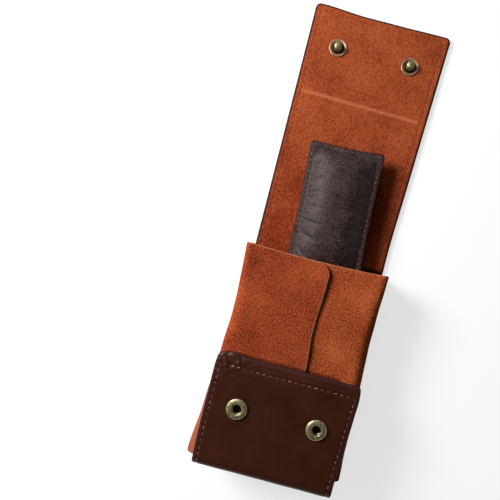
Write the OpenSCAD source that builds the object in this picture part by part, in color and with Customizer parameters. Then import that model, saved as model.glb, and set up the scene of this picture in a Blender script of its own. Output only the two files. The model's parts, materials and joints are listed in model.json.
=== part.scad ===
// Travel case for one watch, lying open on its back.
// One long strip of lined leather makes the back, the lid and the folded bottom flap.
// Two suede wings rise from the back and lap over each other to form the sleeve, a
// stitched cushion slides in it, and two ring-spring snaps hold the lid to the flap.
// X runs across the case, +Y towards the lid's free end, +Z up from the table.

/* [Case] */
// Width of the strip at the back, the bottom and the flap
strip_w = 77; // [70:1:90]
// Width of the strip at the lid's free end
lid_end_w = 80; // [72:1:94]
// Length of the case from its bottom to the mouth
case_l = 120; // [110:1:135]
// Height inside the sleeve, from the lining to the under wing
inner_h = 24.4; // [23:0.2:30]
// Distance from the mouth to the first fold of the lid
mouth_margin = 1; // [0.6:0.1:3]
// Distance from the lid's free end to the crease across its lining
crease_inset = 52.5; // [44:0.5:60]

/* [Leather and lining] */
// Thickness of the outer leather
leather_t = 1.4; // [1:0.1:2]
// Thickness of the suede lining
lining_t = 1.3; // [1:0.1:2]
// Inside radius of the two bends at the bottom
bend_r = 1.2; // [0.8:0.1:3]
// Radius of the lid's two free corners
lid_corner_r = 3; // [1:0.5:8]
// Radius of the flap's two free corners
flap_corner_r = 3; // [1:0.5:8]

/* [Bottom flap] */
// Length of the flap from the bottom to its free edge
flap_l = 60.5; // [52:0.5:75]

/* [Wings] */
// Thickness of the two suede wings
wing_t = 1.3; // [1:0.1:2]
// Width of each wing's foot, which is sewn down on the back leather
wing_foot_w = 6; // [4:0.5:10]
// How far the upper wing's free edge lies past the middle of the case
upper_edge_x = 7.8; // [-10:0.2:20]
// How far the lower wing reaches past the middle, under the upper one
lower_reach = 22; // [12:1:28]
// Radius of the upper wing's free corner at the mouth
wing_corner_r = 6; // [3:0.5:12]
// Radius of the wings' long upper edges
wing_edge_r = 4.5; // [3:0.5:8]
// How far the wings' sides lean out at the mouth
mouth_lean = 0.6; // [0:0.1:2]
// How much further they lean out at their lower ends
low_splay = 3.2; // [0:0.1:5]
// How far the wings' sides bow out at half height
side_bow = 0.8; // [0:0.1:2]
// Distance from the case's bottom to the wings' lower ends
wing_low_gap = 5; // [4.6:0.2:10]

/* [Snaps] */
// Distance between the two snaps
snap_pitch = 42.8; // [30:0.2:54]
// Distance from the flap's free edge to the sockets
socket_inset = 26.5; // [12:0.5:34]
// Distance from the lid's free end to the studs
stud_inset = 22.6; // [12:0.5:34]
// Outer diameter of a socket
socket_d = 11.4; // [10.4:0.2:14]
// Height of a socket above the flap
socket_h = 1.9; // [1.7:0.1:2.4]
// Diameter of a stud's ball head
head_d = 4.8; // [4.2:0.1:5.2]
// Diameter of a stud's flange
stud_d = 10.4; // [9.4:0.2:13]
// Diameter of the flat flange of the posts that hold studs and sockets
post_d = 9; // [8:0.2:11]
// Thickness of the posts' flat flange
post_t = 0.5; // [0.3:0.05:0.7]
// Diameter of the wire of a socket's ring spring
spring_wire_d = 0.6; // [0.4:0.05:0.65]

/* [Cushion] */
// Width of the cushion
cushion_w = 42.6; // [36:0.2:56]
// Length of the cushion
cushion_l = 74; // [66:1:90]
// Thickness of the cushion at its crown
cushion_t = 16.5; // [12:0.5:20]
// Length of the cushion that stands out of the mouth
cushion_out = 64; // [50:1:64]
// Distance from the middle of the case to the cushion's middle
cushion_x = 1.2; // [-6:0.2:6]
// Turn of the cushion on the lining
cushion_turn = 2.9; // [-4:0.1:4]
// Width of the cushion's flat stitched border
cushion_border = 4; // [3:0.2:7]
// Thickness of the cushion's leather
cushion_skin_t = 1.1; // [0.8:0.1:1.4]
// How far the cushion's sides are drawn in at their middle
cushion_draw = 0.8; // [0:0.1:2]

/* [Clearances] */
// Gap between neighbouring layers of the front
layer_gap = 0.3; // [0.2:0.05:0.6]
// Gap between the closed stud and its socket
snap_gap = 0.2; // [0.15:0.05:0.4]
// Gap between the cushion and the lining that it rests on
seat_gap = 0.3; // [0.2:0.05:0.6]
// Gap between a post and the hole that it passes through
post_gap = 0.05; // [0.02:0.01:0.1]

/* [Hidden] */
$fn = 64;

leather_color = "#3f2219";
suede_color = "#9a4828";
left_wing_color = "#a04828";
right_wing_color = "#a85528";
brass_color = "#8f7d4e";
spring_color = "#5a5648";
cushion_color = "#40302c";
foam_color = "#cfc6b4";

// Thickness of leather and lining together, and the outer radius of a bend
lam_t = leather_t + lining_t;
bend_outer_r = bend_r + lam_t;

// Heights of the front's layers, from the lining up to the flap's leather
lower_wing_z = lam_t + inner_h + wing_t / 2;
upper_wing_z = lower_wing_z + wing_t + layer_gap;
flap_z = upper_wing_z + wing_t / 2 + layer_gap;
case_h = flap_z + lam_t;

// The stud, from the lid's lining to the tip of its head
stud_flange_t = 0.7;
stud_cone_h = 0.7;
stud_neck_h = 1.1;
stud_neck_r = head_d / 2 - 0.5;
stud_head_h = head_d * 0.38;
stud_bore_r = 1.25;
stud_bore_h = 1.8;

// The socket, round the same head
socket_hole_r = head_d / 2 + snap_gap;
post_bore_r = head_d / 2 + snap_gap - post_gap;
post_wall = 0.35;
post_outer_r = post_bore_r + post_wall;
post_rim_t = 0.12;
post_rim_r = post_outer_r + 0.6;
socket_room_r = post_rim_r + 0.15;
socket_room_h = post_rim_t + spring_wire_d + 0.12;
socket_lip_t = 0.3;
spring_r = stud_neck_r + snap_gap + spring_wire_d / 2;
spring_split = 40;

// Lengths along the strip. The closed lid lies on the studs' flanges, and its studs
// come down into the sockets, which sets the spine's and the lid's lengths
spine_l = case_h + socket_h + stud_flange_t + snap_gap - lam_t;
fold_to_snap = case_l + mouth_margin - flap_l + socket_inset;
lid_l = fold_to_snap + stud_inset;
open_l = case_l + mouth_margin + spine_l + lid_l;

// Places along Y, with the open case centred on the origin
bottom_y = -open_l / 2;
bend_y = bottom_y + bend_outer_r;
mouth_y = bottom_y + case_l;
fold_1_y = mouth_y + mouth_margin;
fold_2_y = fold_1_y + spine_l;
end_y = fold_2_y + lid_l;
crease_y = end_y - crease_inset;
stud_y = end_y - stud_inset;
flap_end_y = bottom_y + flap_l;
socket_y = flap_end_y - socket_inset;
wing_low_y = bottom_y + wing_low_gap;
wing_l = mouth_y - wing_low_y;

// Middle line of a wing's side where it leaves its foot, and the foot's inner end
wing_side_x = strip_w / 2 - wing_t / 2;
foot_end_x = strip_w / 2 - wing_foot_w;
foot_z = leather_t + wing_t / 2;
foot_bend_r = 1.6;

// Half width of the strip at a place past the first fold
function half_w(y) =
    strip_w / 2 + (lid_end_w - strip_w) / 2 * (y - fold_1_y) / (end_y - fold_1_y);

// Triangles of a closed sheet given as rows of outer points and rows of inner points,
// with m points in each row and n rows
function quad(a, b, c, d) = [[a, b, c], [a, c, d]];
function sheet_faces(m, n) =
    let (o = function(k, i) 2 * k * m + i, p = function(k, i) (2 * k + 1) * m + i)
    [
        for (k = [0 : n - 2], i = [0 : m - 2])
            each quad(o(k, i), o(k, i + 1), o(k + 1, i + 1), o(k + 1, i)),
        for (k = [0 : n - 2], i = [0 : m - 2])
            each quad(p(k, i), p(k + 1, i), p(k + 1, i + 1), p(k, i + 1)),
        for (k = [0 : n - 2])
            each quad(o(k, 0), o(k + 1, 0), p(k + 1, 0), p(k, 0)),
        for (k = [0 : n - 2])
            each quad(o(k, m - 1), p(k, m - 1), p(k + 1, m - 1), o(k + 1, m - 1)),
        for (i = [0 : m - 2])
            each quad(o(0, i), p(0, i), p(0, i + 1), o(0, i + 1)),
        for (i = [0 : m - 2])
            each quad(o(n - 1, i), o(n - 1, i + 1), p(n - 1, i + 1), p(n - 1, i))
    ];

// A flat panel of the strip between two places along Y
module strip_panel(y0, y1, z, t) {
    translate([0, 0, z])
        linear_extrude(t)
            polygon([
                [-half_w(y0), y0], [half_w(y0), y0], [half_w(y1), y1], [-half_w(y1), y1]
            ]);
}

// A flat panel with two round corners at its far end
module end_panel(w0, w1, y0, y1, r) {
    polygon([
        [-w0 / 2, y0], [w0 / 2, y0], [w1 / 2, y1 - r],
        [w1 / 2 - r, y1], [-w1 / 2 + r, y1], [-w1 / 2, y1 - r]
    ]);
    for (side = [-1, 1])
        translate([side * (w1 / 2 - r), y1 - r])
            circle(r);
}

// The two places of a pair of snaps
module at_snaps(y) {
    for (side = [-1, 1])
        translate([side * snap_pitch / 2, y, 0])
            children();
}

// One layer of the bottom wall with its two quarter bends, from the inside out
module bottom_layer(r_in, t) {
    module bend(z, top) {
        translate([bend_y, z])
            intersection() {
                difference() {
                    circle(r_in + t);
                    circle(r_in);
                }
                translate([-bend_outer_r, top ? 0 : -bend_outer_r])
                    square(bend_outer_r);
            }
    }
    rotate([90, 0, 90])
        translate([0, 0, -strip_w / 2])
            linear_extrude(strip_w) {
                bend(bend_outer_r, false);
                bend(case_h - bend_outer_r, true);
                translate([bend_y - r_in - t, bend_outer_r])
                    square([t, case_h - 2 * bend_outer_r]);
            }
}

// Back panel of the strip
module back_leather() {
    color(leather_color)
        translate([-strip_w / 2, bend_y, 0])
            cube([strip_w, fold_1_y - bend_y, leather_t]);
}

// Lining of the back, which leaves room at both sides for the wings' sewn feet
module back_lining() {
    inner_w = 2 * (foot_end_x - layer_gap);
    color(suede_color)
        translate([0, 0, leather_t]) {
            translate([-inner_w / 2, bend_y, 0])
                cube([inner_w, mouth_y - bend_y, lining_t]);
            translate([-strip_w / 2, mouth_y, 0])
                cube([strip_w, fold_1_y - mouth_y, lining_t]);
        }
}

// Middle line of the right wing's section at a distance below the mouth, from the end
// of its foot round the side and over the front to its free edge
function wing_path(d, front_z, edge_x) =
    let (
        lean = mouth_lean + low_splay * pow(d / wing_l, 1.6),
        low = foot_z + foot_bend_r,
        high = front_z - wing_edge_r,
        top_x = wing_side_x + lean
    )
    [
        [foot_end_x, foot_z],
        for (a = [-90 : 30 : 0])
            [wing_side_x - foot_bend_r + foot_bend_r * cos(a), low + foot_bend_r * sin(a)],
        for (s = [0.2 : 0.2 : 0.8])
            [wing_side_x + lean * s + side_bow * sin(180 * s), low + (high - low) * s],
        for (a = [0 : 18 : 90])
            [top_x - wing_edge_r + wing_edge_r * cos(a), high + wing_edge_r * sin(a)],
        [(top_x - wing_edge_r) * 0.5 + edge_x * 0.5, front_z],
        [edge_x, front_z]
    ];

// The same line moved to one side by half the wing's thickness
function beside(path, dist) =
    [
        for (i = [0 : len(path) - 1])
            let (
                a = path[max(i - 1, 0)],
                b = path[min(i + 1, len(path) - 1)],
                along = (b - a) / norm(b - a)
            )
            path[i] + dist * [along[1], -along[0]]
    ];

// A wing from its sections: corner_r rounds its free corner at the mouth
module wing(front_z, edge_x, corner_r) {
    corner = [
        for (a = [0 : 15 : corner_r > 0 ? 75 : -1])
            [corner_r * (1 - cos(a)), corner_r * (1 - sin(a))]
    ];
    rows = concat(
        [for (c = corner) [c[0], edge_x + c[1]]],
        [for (k = [0 : 10]) [corner_r + (wing_l - corner_r) * k / 10, edge_x]]
    );
    sections = [
        for (row = rows)
            let (path = wing_path(row[0], front_z, row[1]))
            [for (side = [1, -1])
                [for (p = beside(path, side * wing_t / 2)) [p[0], mouth_y - row[0], p[1]]]
            ]
    ];
    polyhedron(
        points = [for (section = sections) each concat(section[0], section[1])],
        faces = sheet_faces(len(sections[0][0]), len(sections))
    );
}

// Upper wing, hung on the left, with the free edge and round corner that show
module left_wing() {
    color(left_wing_color)
        mirror([1, 0, 0])
            wing(upper_wing_z, -upper_edge_x, wing_corner_r);
}

// Lower wing, hung on the right, which reaches under the upper one
module right_wing() {
    color(right_wing_color)
        wing(lower_wing_z, -lower_reach, 0);
}

// Spine, which becomes the case's top when the lid is closed
module spine_leather() {
    color(leather_color)
        strip_panel(fold_1_y, fold_2_y, 0, leather_t);
}

module spine_lining() {
    color(suede_color)
        strip_panel(fold_1_y, fold_2_y, leather_t, lining_t);
}

// Lid between the spine and the crease
module lid_middle_leather() {
    color(leather_color)
        strip_panel(fold_2_y, crease_y, 0, leather_t);
}

module lid_middle_lining() {
    color(suede_color)
        strip_panel(fold_2_y, crease_y, leather_t, lining_t);
}

// Outline of the lid past the crease
module lid_end_outline() {
    end_panel(2 * half_w(crease_y), lid_end_w, crease_y, end_y, lid_corner_r);
}

module lid_end_leather() {
    color(leather_color)
        linear_extrude(leather_t)
            lid_end_outline();
}

// Its lining, bored for the studs' posts and hollowed below for their flanges
module lid_end_lining() {
    color(suede_color)
        translate([0, 0, leather_t])
            difference() {
                linear_extrude(lining_t)
                    lid_end_outline();
                at_snaps(stud_y) {
                    translate([0, 0, -1])
                        cylinder(h = lining_t + 2, r = stud_bore_r);
                    translate([0, 0, -1])
                        cylinder(h = 1 + post_t, r = post_d / 2 + post_gap);
                }
            }
}

// Stud with a flange, a cone, a neck and a ball head, hollow for its post
module snap_studs() {
    cone_z = stud_flange_t + stud_cone_h;
    head_z = cone_z + stud_neck_h;
    cone_r = socket_hole_r + 1;
    head_r = head_d / 2;
    color(brass_color)
        at_snaps(stud_y)
            translate([0, 0, lam_t])
                rotate_extrude()
                    polygon(concat(
                        [
                            [stud_bore_r, 0], [stud_d / 2, 0], [stud_d / 2, stud_flange_t * 0.5],
                            [stud_d / 2 - 0.4, stud_flange_t], [cone_r + 0.15, stud_flange_t],
                            [cone_r, stud_flange_t + 0.15], [stud_neck_r + 0.6, cone_z - 0.05],
                            [stud_neck_r, cone_z + 0.25], [stud_neck_r, head_z]
                        ],
                        [for (a = [-10 : 12.5 : 90])
                            [head_r * cos(a), head_z + stud_head_h * (0.35 + 0.65 * sin(a))]],
                        [[0, stud_bore_h], [stud_bore_r, stud_bore_h]]
                    ));
}

// Post with a flat flange between the lid's layers and a shank inside the stud
module stud_posts() {
    color(brass_color)
        at_snaps(stud_y)
            translate([0, 0, leather_t]) {
                cylinder(h = post_t, r = post_d / 2);
                cylinder(h = lining_t + stud_bore_h - snap_gap, r = stud_bore_r - post_gap);
            }
}

// Bottom wall with its bends
module bottom_leather() {
    color(leather_color)
        bottom_layer(bend_r + lining_t, leather_t);
}

module bottom_lining() {
    color(suede_color)
        bottom_layer(bend_r, lining_t);
}

// Outline of the flap
module flap_outline() {
    end_panel(strip_w, strip_w, bend_y, flap_end_y, flap_corner_r);
}

module flap_leather() {
    color(leather_color)
        translate([0, 0, flap_z + lining_t])
            difference() {
                linear_extrude(leather_t)
                    flap_outline();
                at_snaps(socket_y)
                    translate([0, 0, -1])
                        cylinder(h = leather_t + 2, r = post_outer_r + post_gap);
            }
}

// The flap's lining, bored for the posts and hollowed below for their flanges
module flap_lining() {
    color(suede_color)
        translate([0, 0, flap_z])
            difference() {
                linear_extrude(lining_t)
                    flap_outline();
                at_snaps(socket_y) {
                    translate([0, 0, -1])
                        cylinder(h = lining_t + 2, r = post_outer_r + post_gap);
                    translate([0, 0, -1])
                        cylinder(h = 1 + post_t, r = post_d / 2 + post_gap);
                }
            }
}

// Domed socket with a dished mouth and a room for the ring spring
module snap_sockets() {
    r = socket_d / 2;
    h = socket_h;
    lip_z = socket_room_h + socket_lip_t;
    crown_r = (r + socket_hole_r + 1.3) / 2;
    color(brass_color)
        at_snaps(socket_y)
            translate([0, 0, case_h])
                rotate_extrude()
                    polygon(concat(
                        [[socket_room_r, 0], [r, 0]],
                        [for (a = [0 : 15 : 90])
                            [crown_r + (r - crown_r) * cos(a), h * (0.45 + 0.55 * sin(a))]],
                        [
                            [socket_hole_r + 1.4, h], [socket_hole_r + 1.15, h - 0.15],
                            [socket_hole_r + 0.1, lip_z - 0.02], [socket_hole_r, lip_z - 0.12],
                            [socket_hole_r, socket_room_h], [socket_room_r, socket_room_h]
                        ]
                    ));
}

// Split ring of wire that closes behind a stud's head
module socket_springs() {
    color(spring_color)
        at_snaps(socket_y)
            translate([0, 0, case_h + post_rim_t + spring_wire_d / 2 + 0.04])
                rotate([0, 0, spring_split / 2])
                    rotate_extrude(angle = 360 - spring_split)
                        translate([spring_r, 0])
                            circle(d = spring_wire_d, $fn = 24);
}

// Cup-shaped post through the flap, with a flange inside and a rolled rim in the socket
module socket_posts() {
    color(brass_color)
        at_snaps(socket_y)
            translate([0, 0, flap_z])
                rotate_extrude()
                    polygon([
                        [0, 0], [post_d / 2, 0], [post_d / 2, post_t],
                        [post_outer_r, post_t], [post_outer_r, lam_t],
                        [post_rim_r, lam_t], [post_rim_r, lam_t + post_rim_t],
                        [post_bore_r, lam_t + post_rim_t], [post_bore_r, post_t], [0, post_t]
                    ]);
}

// Grid of the cushion: shares of the half width or length, close together at the border
cushion_cols = 8;
cushion_rows = 12;
function grid(n, half) =
    let (inner = 1 - cushion_border / half)
    concat([-1], [for (k = [-n : n]) inner * sin(90 * k / n)], [1]);
us = grid(cushion_cols, cushion_w / 2);
vs = grid(cushion_rows, cushion_l / 2);

// Rise of the stuffed part, from 0 at the border's seam to 1 at the crown
function swell(a, half) =
    let (inner = 1 - cushion_border / half, t = min(abs(a) / inner, 1))
    pow(1 - pow(t, 2.6), 0.6);

// Rows of points of one cushion surface. rim is its height at the border, crown its
// height in the middle and shrink what it keeps in from the border's outline
function cushion_surface(rim, crown, shrink) =
    [
        for (v = vs)
            [
                for (u = us)
                    let (
                        x = u * (cushion_w / 2 - shrink - cushion_draw * cos(90 * v)),
                        y = v * (cushion_l / 2 - shrink - cushion_draw * cos(90 * u)),
                        up = swell(u, cushion_w / 2) * swell(v, cushion_l / 2)
                    )
                    [x, y, rim + (crown - rim) * up]
            ]
    ];

// A solid between two such surfaces, at the cushion's place
module cushion_solid(top, under) {
    translate([cushion_x, mouth_y + cushion_out - cushion_l / 2, lam_t + seat_gap + cushion_t / 2])
        rotate([0, 0, cushion_turn])
            polyhedron(
                points = [for (k = [0 : len(vs) - 1]) each concat(under[k], top[k])],
                faces = sheet_faces(len(us), len(vs))
            );
}

function flipped(surface) = [for (row = surface) [for (p = row) [p[0], p[1], -p[2]]]];

cushion_half = cushion_t / 2;
skin_outer = cushion_surface(cushion_skin_t, cushion_half, 0);
skin_inner = cushion_surface(0, cushion_half - cushion_skin_t, 0);
core_gap = 0.1;
core_outer = cushion_surface(
    core_gap / 2, cushion_half - cushion_skin_t - 2 * core_gap, cushion_border + 3 * core_gap
);

// Upper face of the cushion, sewn flat to the lower one all round
module cushion_front() {
    color(cushion_color)
        cushion_solid(skin_outer, skin_inner);
}

module cushion_back() {
    color(cushion_color)
        cushion_solid(flipped(skin_inner), flipped(skin_outer));
}

// Foam between the two faces
module cushion_core() {
    color(foam_color)
        cushion_solid(core_outer, flipped(core_outer));
}

back_leather();
back_lining();
left_wing();
right_wing();
spine_leather();
spine_lining();
lid_middle_leather();
lid_middle_lining();
lid_end_leather();
lid_end_lining();
snap_studs();
stud_posts();
bottom_leather();
bottom_lining();
flap_leather();
flap_lining();
snap_sockets();
socket_springs();
socket_posts();
cushion_front();
cushion_back();
cushion_core();
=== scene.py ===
"""Looks of a soft leather travel case for one watch, lying open on its back.

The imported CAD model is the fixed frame. Every piece here is made in its coordinates, with X
across the case, +Y towards the lid's free end and +Z up from the table. Sizes are in
millimetres until a mesh is finished, which turns them to metres.
"""

from __future__ import annotations

import json
import logging
import math
from dataclasses import dataclass
from enum import Enum
from functools import partial
from itertools import accumulate
from typing import Any, Callable, Iterable, Sequence

import bmesh
import bpy
from mathutils import Matrix, Vector, noise

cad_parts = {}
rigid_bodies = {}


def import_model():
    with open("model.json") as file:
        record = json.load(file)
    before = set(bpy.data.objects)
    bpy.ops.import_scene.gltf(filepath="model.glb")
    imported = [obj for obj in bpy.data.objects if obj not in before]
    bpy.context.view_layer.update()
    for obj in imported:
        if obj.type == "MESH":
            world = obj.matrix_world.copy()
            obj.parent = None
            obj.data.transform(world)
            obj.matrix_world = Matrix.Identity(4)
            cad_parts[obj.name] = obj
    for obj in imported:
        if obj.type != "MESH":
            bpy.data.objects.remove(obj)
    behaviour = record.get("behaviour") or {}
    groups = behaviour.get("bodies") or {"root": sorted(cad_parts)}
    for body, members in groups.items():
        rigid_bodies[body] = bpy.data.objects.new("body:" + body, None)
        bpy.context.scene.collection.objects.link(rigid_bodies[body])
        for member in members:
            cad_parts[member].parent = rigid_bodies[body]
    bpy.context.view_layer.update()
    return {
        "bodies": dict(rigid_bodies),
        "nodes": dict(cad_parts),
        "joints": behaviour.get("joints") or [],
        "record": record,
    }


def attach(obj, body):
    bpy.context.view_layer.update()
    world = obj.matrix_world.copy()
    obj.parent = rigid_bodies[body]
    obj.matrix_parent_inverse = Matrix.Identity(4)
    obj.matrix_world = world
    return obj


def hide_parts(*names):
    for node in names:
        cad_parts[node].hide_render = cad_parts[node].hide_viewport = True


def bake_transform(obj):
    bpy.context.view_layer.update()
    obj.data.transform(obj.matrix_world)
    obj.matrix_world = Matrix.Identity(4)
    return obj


LOG = logging.getLogger("watch_case")
MM = 0.001
# The crease across the lid: its run at the middle in mm, and how much lower it is per mm of x
CREASE = 79.9
CREASE_SLOPE = 0.017
# Places of the snaps on the closed frame: to both sides of the middle, and along the case
SNAP_X = 21.4
STUD_Y = 109.25
SOCKET_Y = -97.85


class Body(str, Enum):
    """The moving parts that pieces ride on."""

    BACK = "case_back"
    SPINE = "lid_spine"
    LID = "lid_front"
    WALL = "bottom_wall"
    FLAP = "bottom_flap"
    CUSHION = "cushion"


class Layer(Enum):
    """The two layers of the strip."""

    LEATHER = "leather"
    LINING = "lining"


class Side(Enum):
    """Left or right of the case, as the sign of X."""

    LEFT = -1
    RIGHT = 1


# Numbers and curves


def srgb(code: str) -> tuple[float, float, float, float]:
    """Linear colour and alpha of an sRGB hex code."""
    parts = [int(code[i : i + 2], 16) / 255 for i in (0, 2, 4)]
    linear = [c / 12.92 if c <= 0.04045 else ((c + 0.055) / 1.055) ** 2.4 for c in parts]
    return (*linear, 1.0)


def bell(distance: float, width: float) -> float:
    """1 at no distance, falling smoothly to 0 past twice the width."""
    return math.exp(-((distance / width) ** 2))


def mound(size: tuple[float, float], distance: float) -> float:
    """Height of a smooth mound, sized by its height and width, at a distance from its crest."""
    return size[0] * bell(distance, size[1])


def ease(value: float, low: float, high: float) -> float:
    """0 up to low, 1 from high on and a smooth rise between them, where high may be the lower."""
    t = min(max((value - low) / (high - low), 0.0), 1.0)
    return t * t * (3 - 2 * t)


def through(table: Sequence[tuple[float, float]], at: float) -> float:
    """Value of a smooth curve through the given points.

    Args:
        table: Pairs of place and value, in rising order of place.
        at: The place that is asked for, held within the table's ends.

    Returns:
        The value of a Catmull-Rom curve at that place.
    """
    at = min(max(at, table[0][0]), table[-1][0])
    k = max(i for i in range(len(table) - 1) if table[i][0] <= at)
    (x0, y0), (x1, y1) = table[k], table[k + 1]
    before, after = table[max(k - 1, 0)], table[min(k + 2, len(table) - 1)]
    slope_0 = (y1 - before[1]) / (x1 - before[0])
    slope_1 = (after[1] - y0) / (after[0] - x0)
    span = x1 - x0
    t = (at - x0) / span
    return (
        (2 * t**3 - 3 * t**2 + 1) * y0
        + (t**3 - 2 * t**2 + t) * span * slope_0
        + (3 * t**2 - 2 * t**3) * y1
        + (t**3 - t**2) * span * slope_1
    )


def spread(
    low: float, high: float, step: float, near: Iterable[tuple[float, float, float]] = ()
) -> list[float]:
    """Places from low to high, closer together where detail needs it.

    Args:
        low: First place.
        high: Last place.
        step: Usual distance between two places.
        near: Triples of a place, how far round it the detail reaches and the step there.

    Returns:
        The places in rising order.
    """
    near = list(near)
    places = [low]
    while places[-1] < high:
        here = places[-1]
        finest = min([step] + [fine for at, reach, fine in near if abs(here - at) < reach])
        places.append(here + finest if high - here > 1.5 * finest else high)
    return places


def ripple(kind: tuple[float, float, float], x: float, y: float) -> float:
    """Soft random waves by their height, length and seed, the same in each run."""
    height, length, seed = kind
    return height * noise.noise(Vector((x / length, y / length, seed)))


def rounded_off(radius: float, distance: float) -> float:
    """How far a round corner cuts in at a distance from its end, and 0 past its radius."""
    return radius - math.sqrt(max(radius**2 - max(radius - distance, 0.0) ** 2, 0.0))


# Meshes


def put(target: Any, **settings: Any) -> Any:
    """Set several properties of one of Blender's things.

    Args:
        target: The thing, such as a node or a modifier.
        settings: New values by property.

    Returns:
        The same thing.
    """
    for key, value in settings.items():
        setattr(target, key, value)
    return target


def stand(name: str, data: Any) -> bpy.types.Object:
    """Put a mesh, a lamp or a camera in the scene.

    Args:
        name: Name of its object.
        data: What the object shows.

    Returns:
        The new object.
    """
    obj = bpy.data.objects.new(name, data)
    bpy.context.scene.collection.objects.link(obj)
    return obj


@dataclass
class Spot:
    """A vertex's place, its place on the flat cut piece and its distance to the cut edge."""

    at: Vector
    flat: Vector
    rim: float = 10.0


def grid(columns: int, rows: int, spot: Callable[[int, int], Spot]) -> bmesh.types.BMesh:
    """A sheet of quads whose vertices are placed by their column and row.

    Args:
        columns: Number of vertices across.
        rows: Number of vertices along.
        spot: Gives the spot of the vertex in a column and row, in millimetres.

    Returns:
        The mesh in metres, with the layers "flat" and "rim" for the materials.
    """
    bm = bmesh.new()
    bmesh.ops.create_grid(bm, x_segments=columns - 1, y_segments=rows - 1, size=1.0)
    flat = bm.verts.layers.float_vector.new("flat")
    rim = bm.verts.layers.float.new("rim")
    for vert in bm.verts:
        i = round((vert.co.x + 1) / 2 * (columns - 1))
        j = round((vert.co.y + 1) / 2 * (rows - 1))
        found = spot(i, j)
        vert.co = found.at * MM
        vert[flat] = found.flat * MM
        vert[rim] = found.rim
    return bm


def piece(
    name: str, bm: bmesh.types.BMesh, finishes: Sequence[Finish], slot: str | None = None
) -> bpy.types.Object:
    """Turn a mesh into an object of the scene.

    Args:
        name: Name of the piece.
        bm: Its mesh in metres, which is freed.
        finishes: Finishes of its material slots.
        slot: Not used.

    Returns:
        The new object, smooth shaded, at the origin.
    """
    for face in bm.faces:
        face.smooth = True
    mesh = bpy.data.meshes.new(name)
    bm.to_mesh(mesh)
    bm.free()
    for finish in finishes:
        mesh.materials.append(finish.material())
    obj = stand(name, mesh)
    LOG.info("%s: %d vertices", name, len(mesh.vertices))
    return obj


def thicken(obj: bpy.types.Object, thickness: float, offset: float, edge: float) -> None:
    """Give a sheet its thickness and rounded cut edges.

    Args:
        obj: The sheet.
        thickness: Thickness in millimetres.
        offset: -1 to grow against the normals, 0 both ways, 1 along them.
        edge: Radius of the cut edges in millimetres, or 0 where another piece covers them.
    """
    put(
        obj.modifiers.new("thickness", "SOLIDIFY"), thickness=thickness * MM, offset=offset,
        use_even_offset=False, material_offset_rim=len(obj.data.materials) - 1,
    )
    if edge > 0:
        put(
            obj.modifiers.new("cut_edge", "BEVEL"), width=edge * MM, segments=2, limit_method="ANGLE",
            angle_limit=math.radians(50), use_clamp_overlap=False,
        )


@dataclass
class Line:
    """A line on a flat piece: its points, their outward normals and its distances."""

    points: list[Vector]
    closed: bool = False

    def normals(self) -> list[Vector]:
        """Find which way is outwards.

        Returns:
            Unit vectors to the right of the line at each point.
        """
        p = self.points
        before = (p[-1:] if self.closed else p[:1]) + p[:-1]
        after = p[1:] + (p[:1] if self.closed else p[-1:])
        ways = [(b - a).normalized() for a, b in zip(before, after)]
        return [Vector((way.y, -way.x)) for way in ways]

    def steps(self, pitch: float) -> list[tuple[Vector, Vector]]:
        """Middle points and directions of equal steps along the line.

        Args:
            pitch: Wanted length of a step, which is fitted to the line's length.

        Returns:
            Pairs of a step's middle point and its unit direction.
        """
        ends = self.points + self.points[:1] if self.closed else self.points
        pairs = [(a, b) for a, b in zip(ends, ends[1:]) if (b - a).length > 1e-6]
        total = sum((b - a).length for a, b in pairs)
        count = max(round(total / pitch), 1)
        found, walked, k = [], 0.0, 0
        for n in range(count):
            want = (n + 0.5) * total / count
            while k < len(pairs) - 1 and walked + (pairs[k][1] - pairs[k][0]).length < want:
                walked += (pairs[k][1] - pairs[k][0]).length
                k += 1
            a, b = pairs[k]
            along = (b - a).normalized()
            found.append((a + along * (want - walked), along))
        return found


Place = Callable[[float, float, float], Vector]
Profile = Callable[[float, float], list[tuple[float, float]]]


def swept(
    name: str, line: Line, profile: Profile, place: Place, finish: Finish, slot: str
) -> bpy.types.Object:
    """A closed profile swept along a line on a piece.

    Args:
        name: Name of the piece.
        line: The line that the profile follows.
        profile: Gives the closed profile at a point of the line, as outward distances and
            depths, from the point's two coordinates.
        place: Maps the two coordinates of the flat piece and a depth to the frame.
        finish: Its finish.
        slot: The record's material slot.

    Returns:
        The new object.
    """
    normals = line.normals()
    rings = [profile(p.x, p.y) for p in line.points]
    sides = len(rings[0])
    rows = len(line.points) + (1 if line.closed else 0)

    def spot(i: int, j: int) -> Spot:
        """A corner i of the profile at a point j of the line."""
        k = j % len(line.points)
        out, depth = rings[k][i % sides]
        flat = line.points[k] + normals[k] * out
        return Spot(place(flat.x, flat.y, depth), Vector((flat.x, flat.y, depth)), 0.0)

    bm = grid(sides + 1, rows, spot)
    bmesh.ops.remove_doubles(bm, verts=bm.verts, dist=1e-6)
    bmesh.ops.holes_fill(bm, edges=[e for e in bm.edges if e.is_boundary], sides=sides)
    bmesh.ops.recalc_face_normals(bm, faces=bm.faces)
    return piece(name, bm, [finish], slot)


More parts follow.
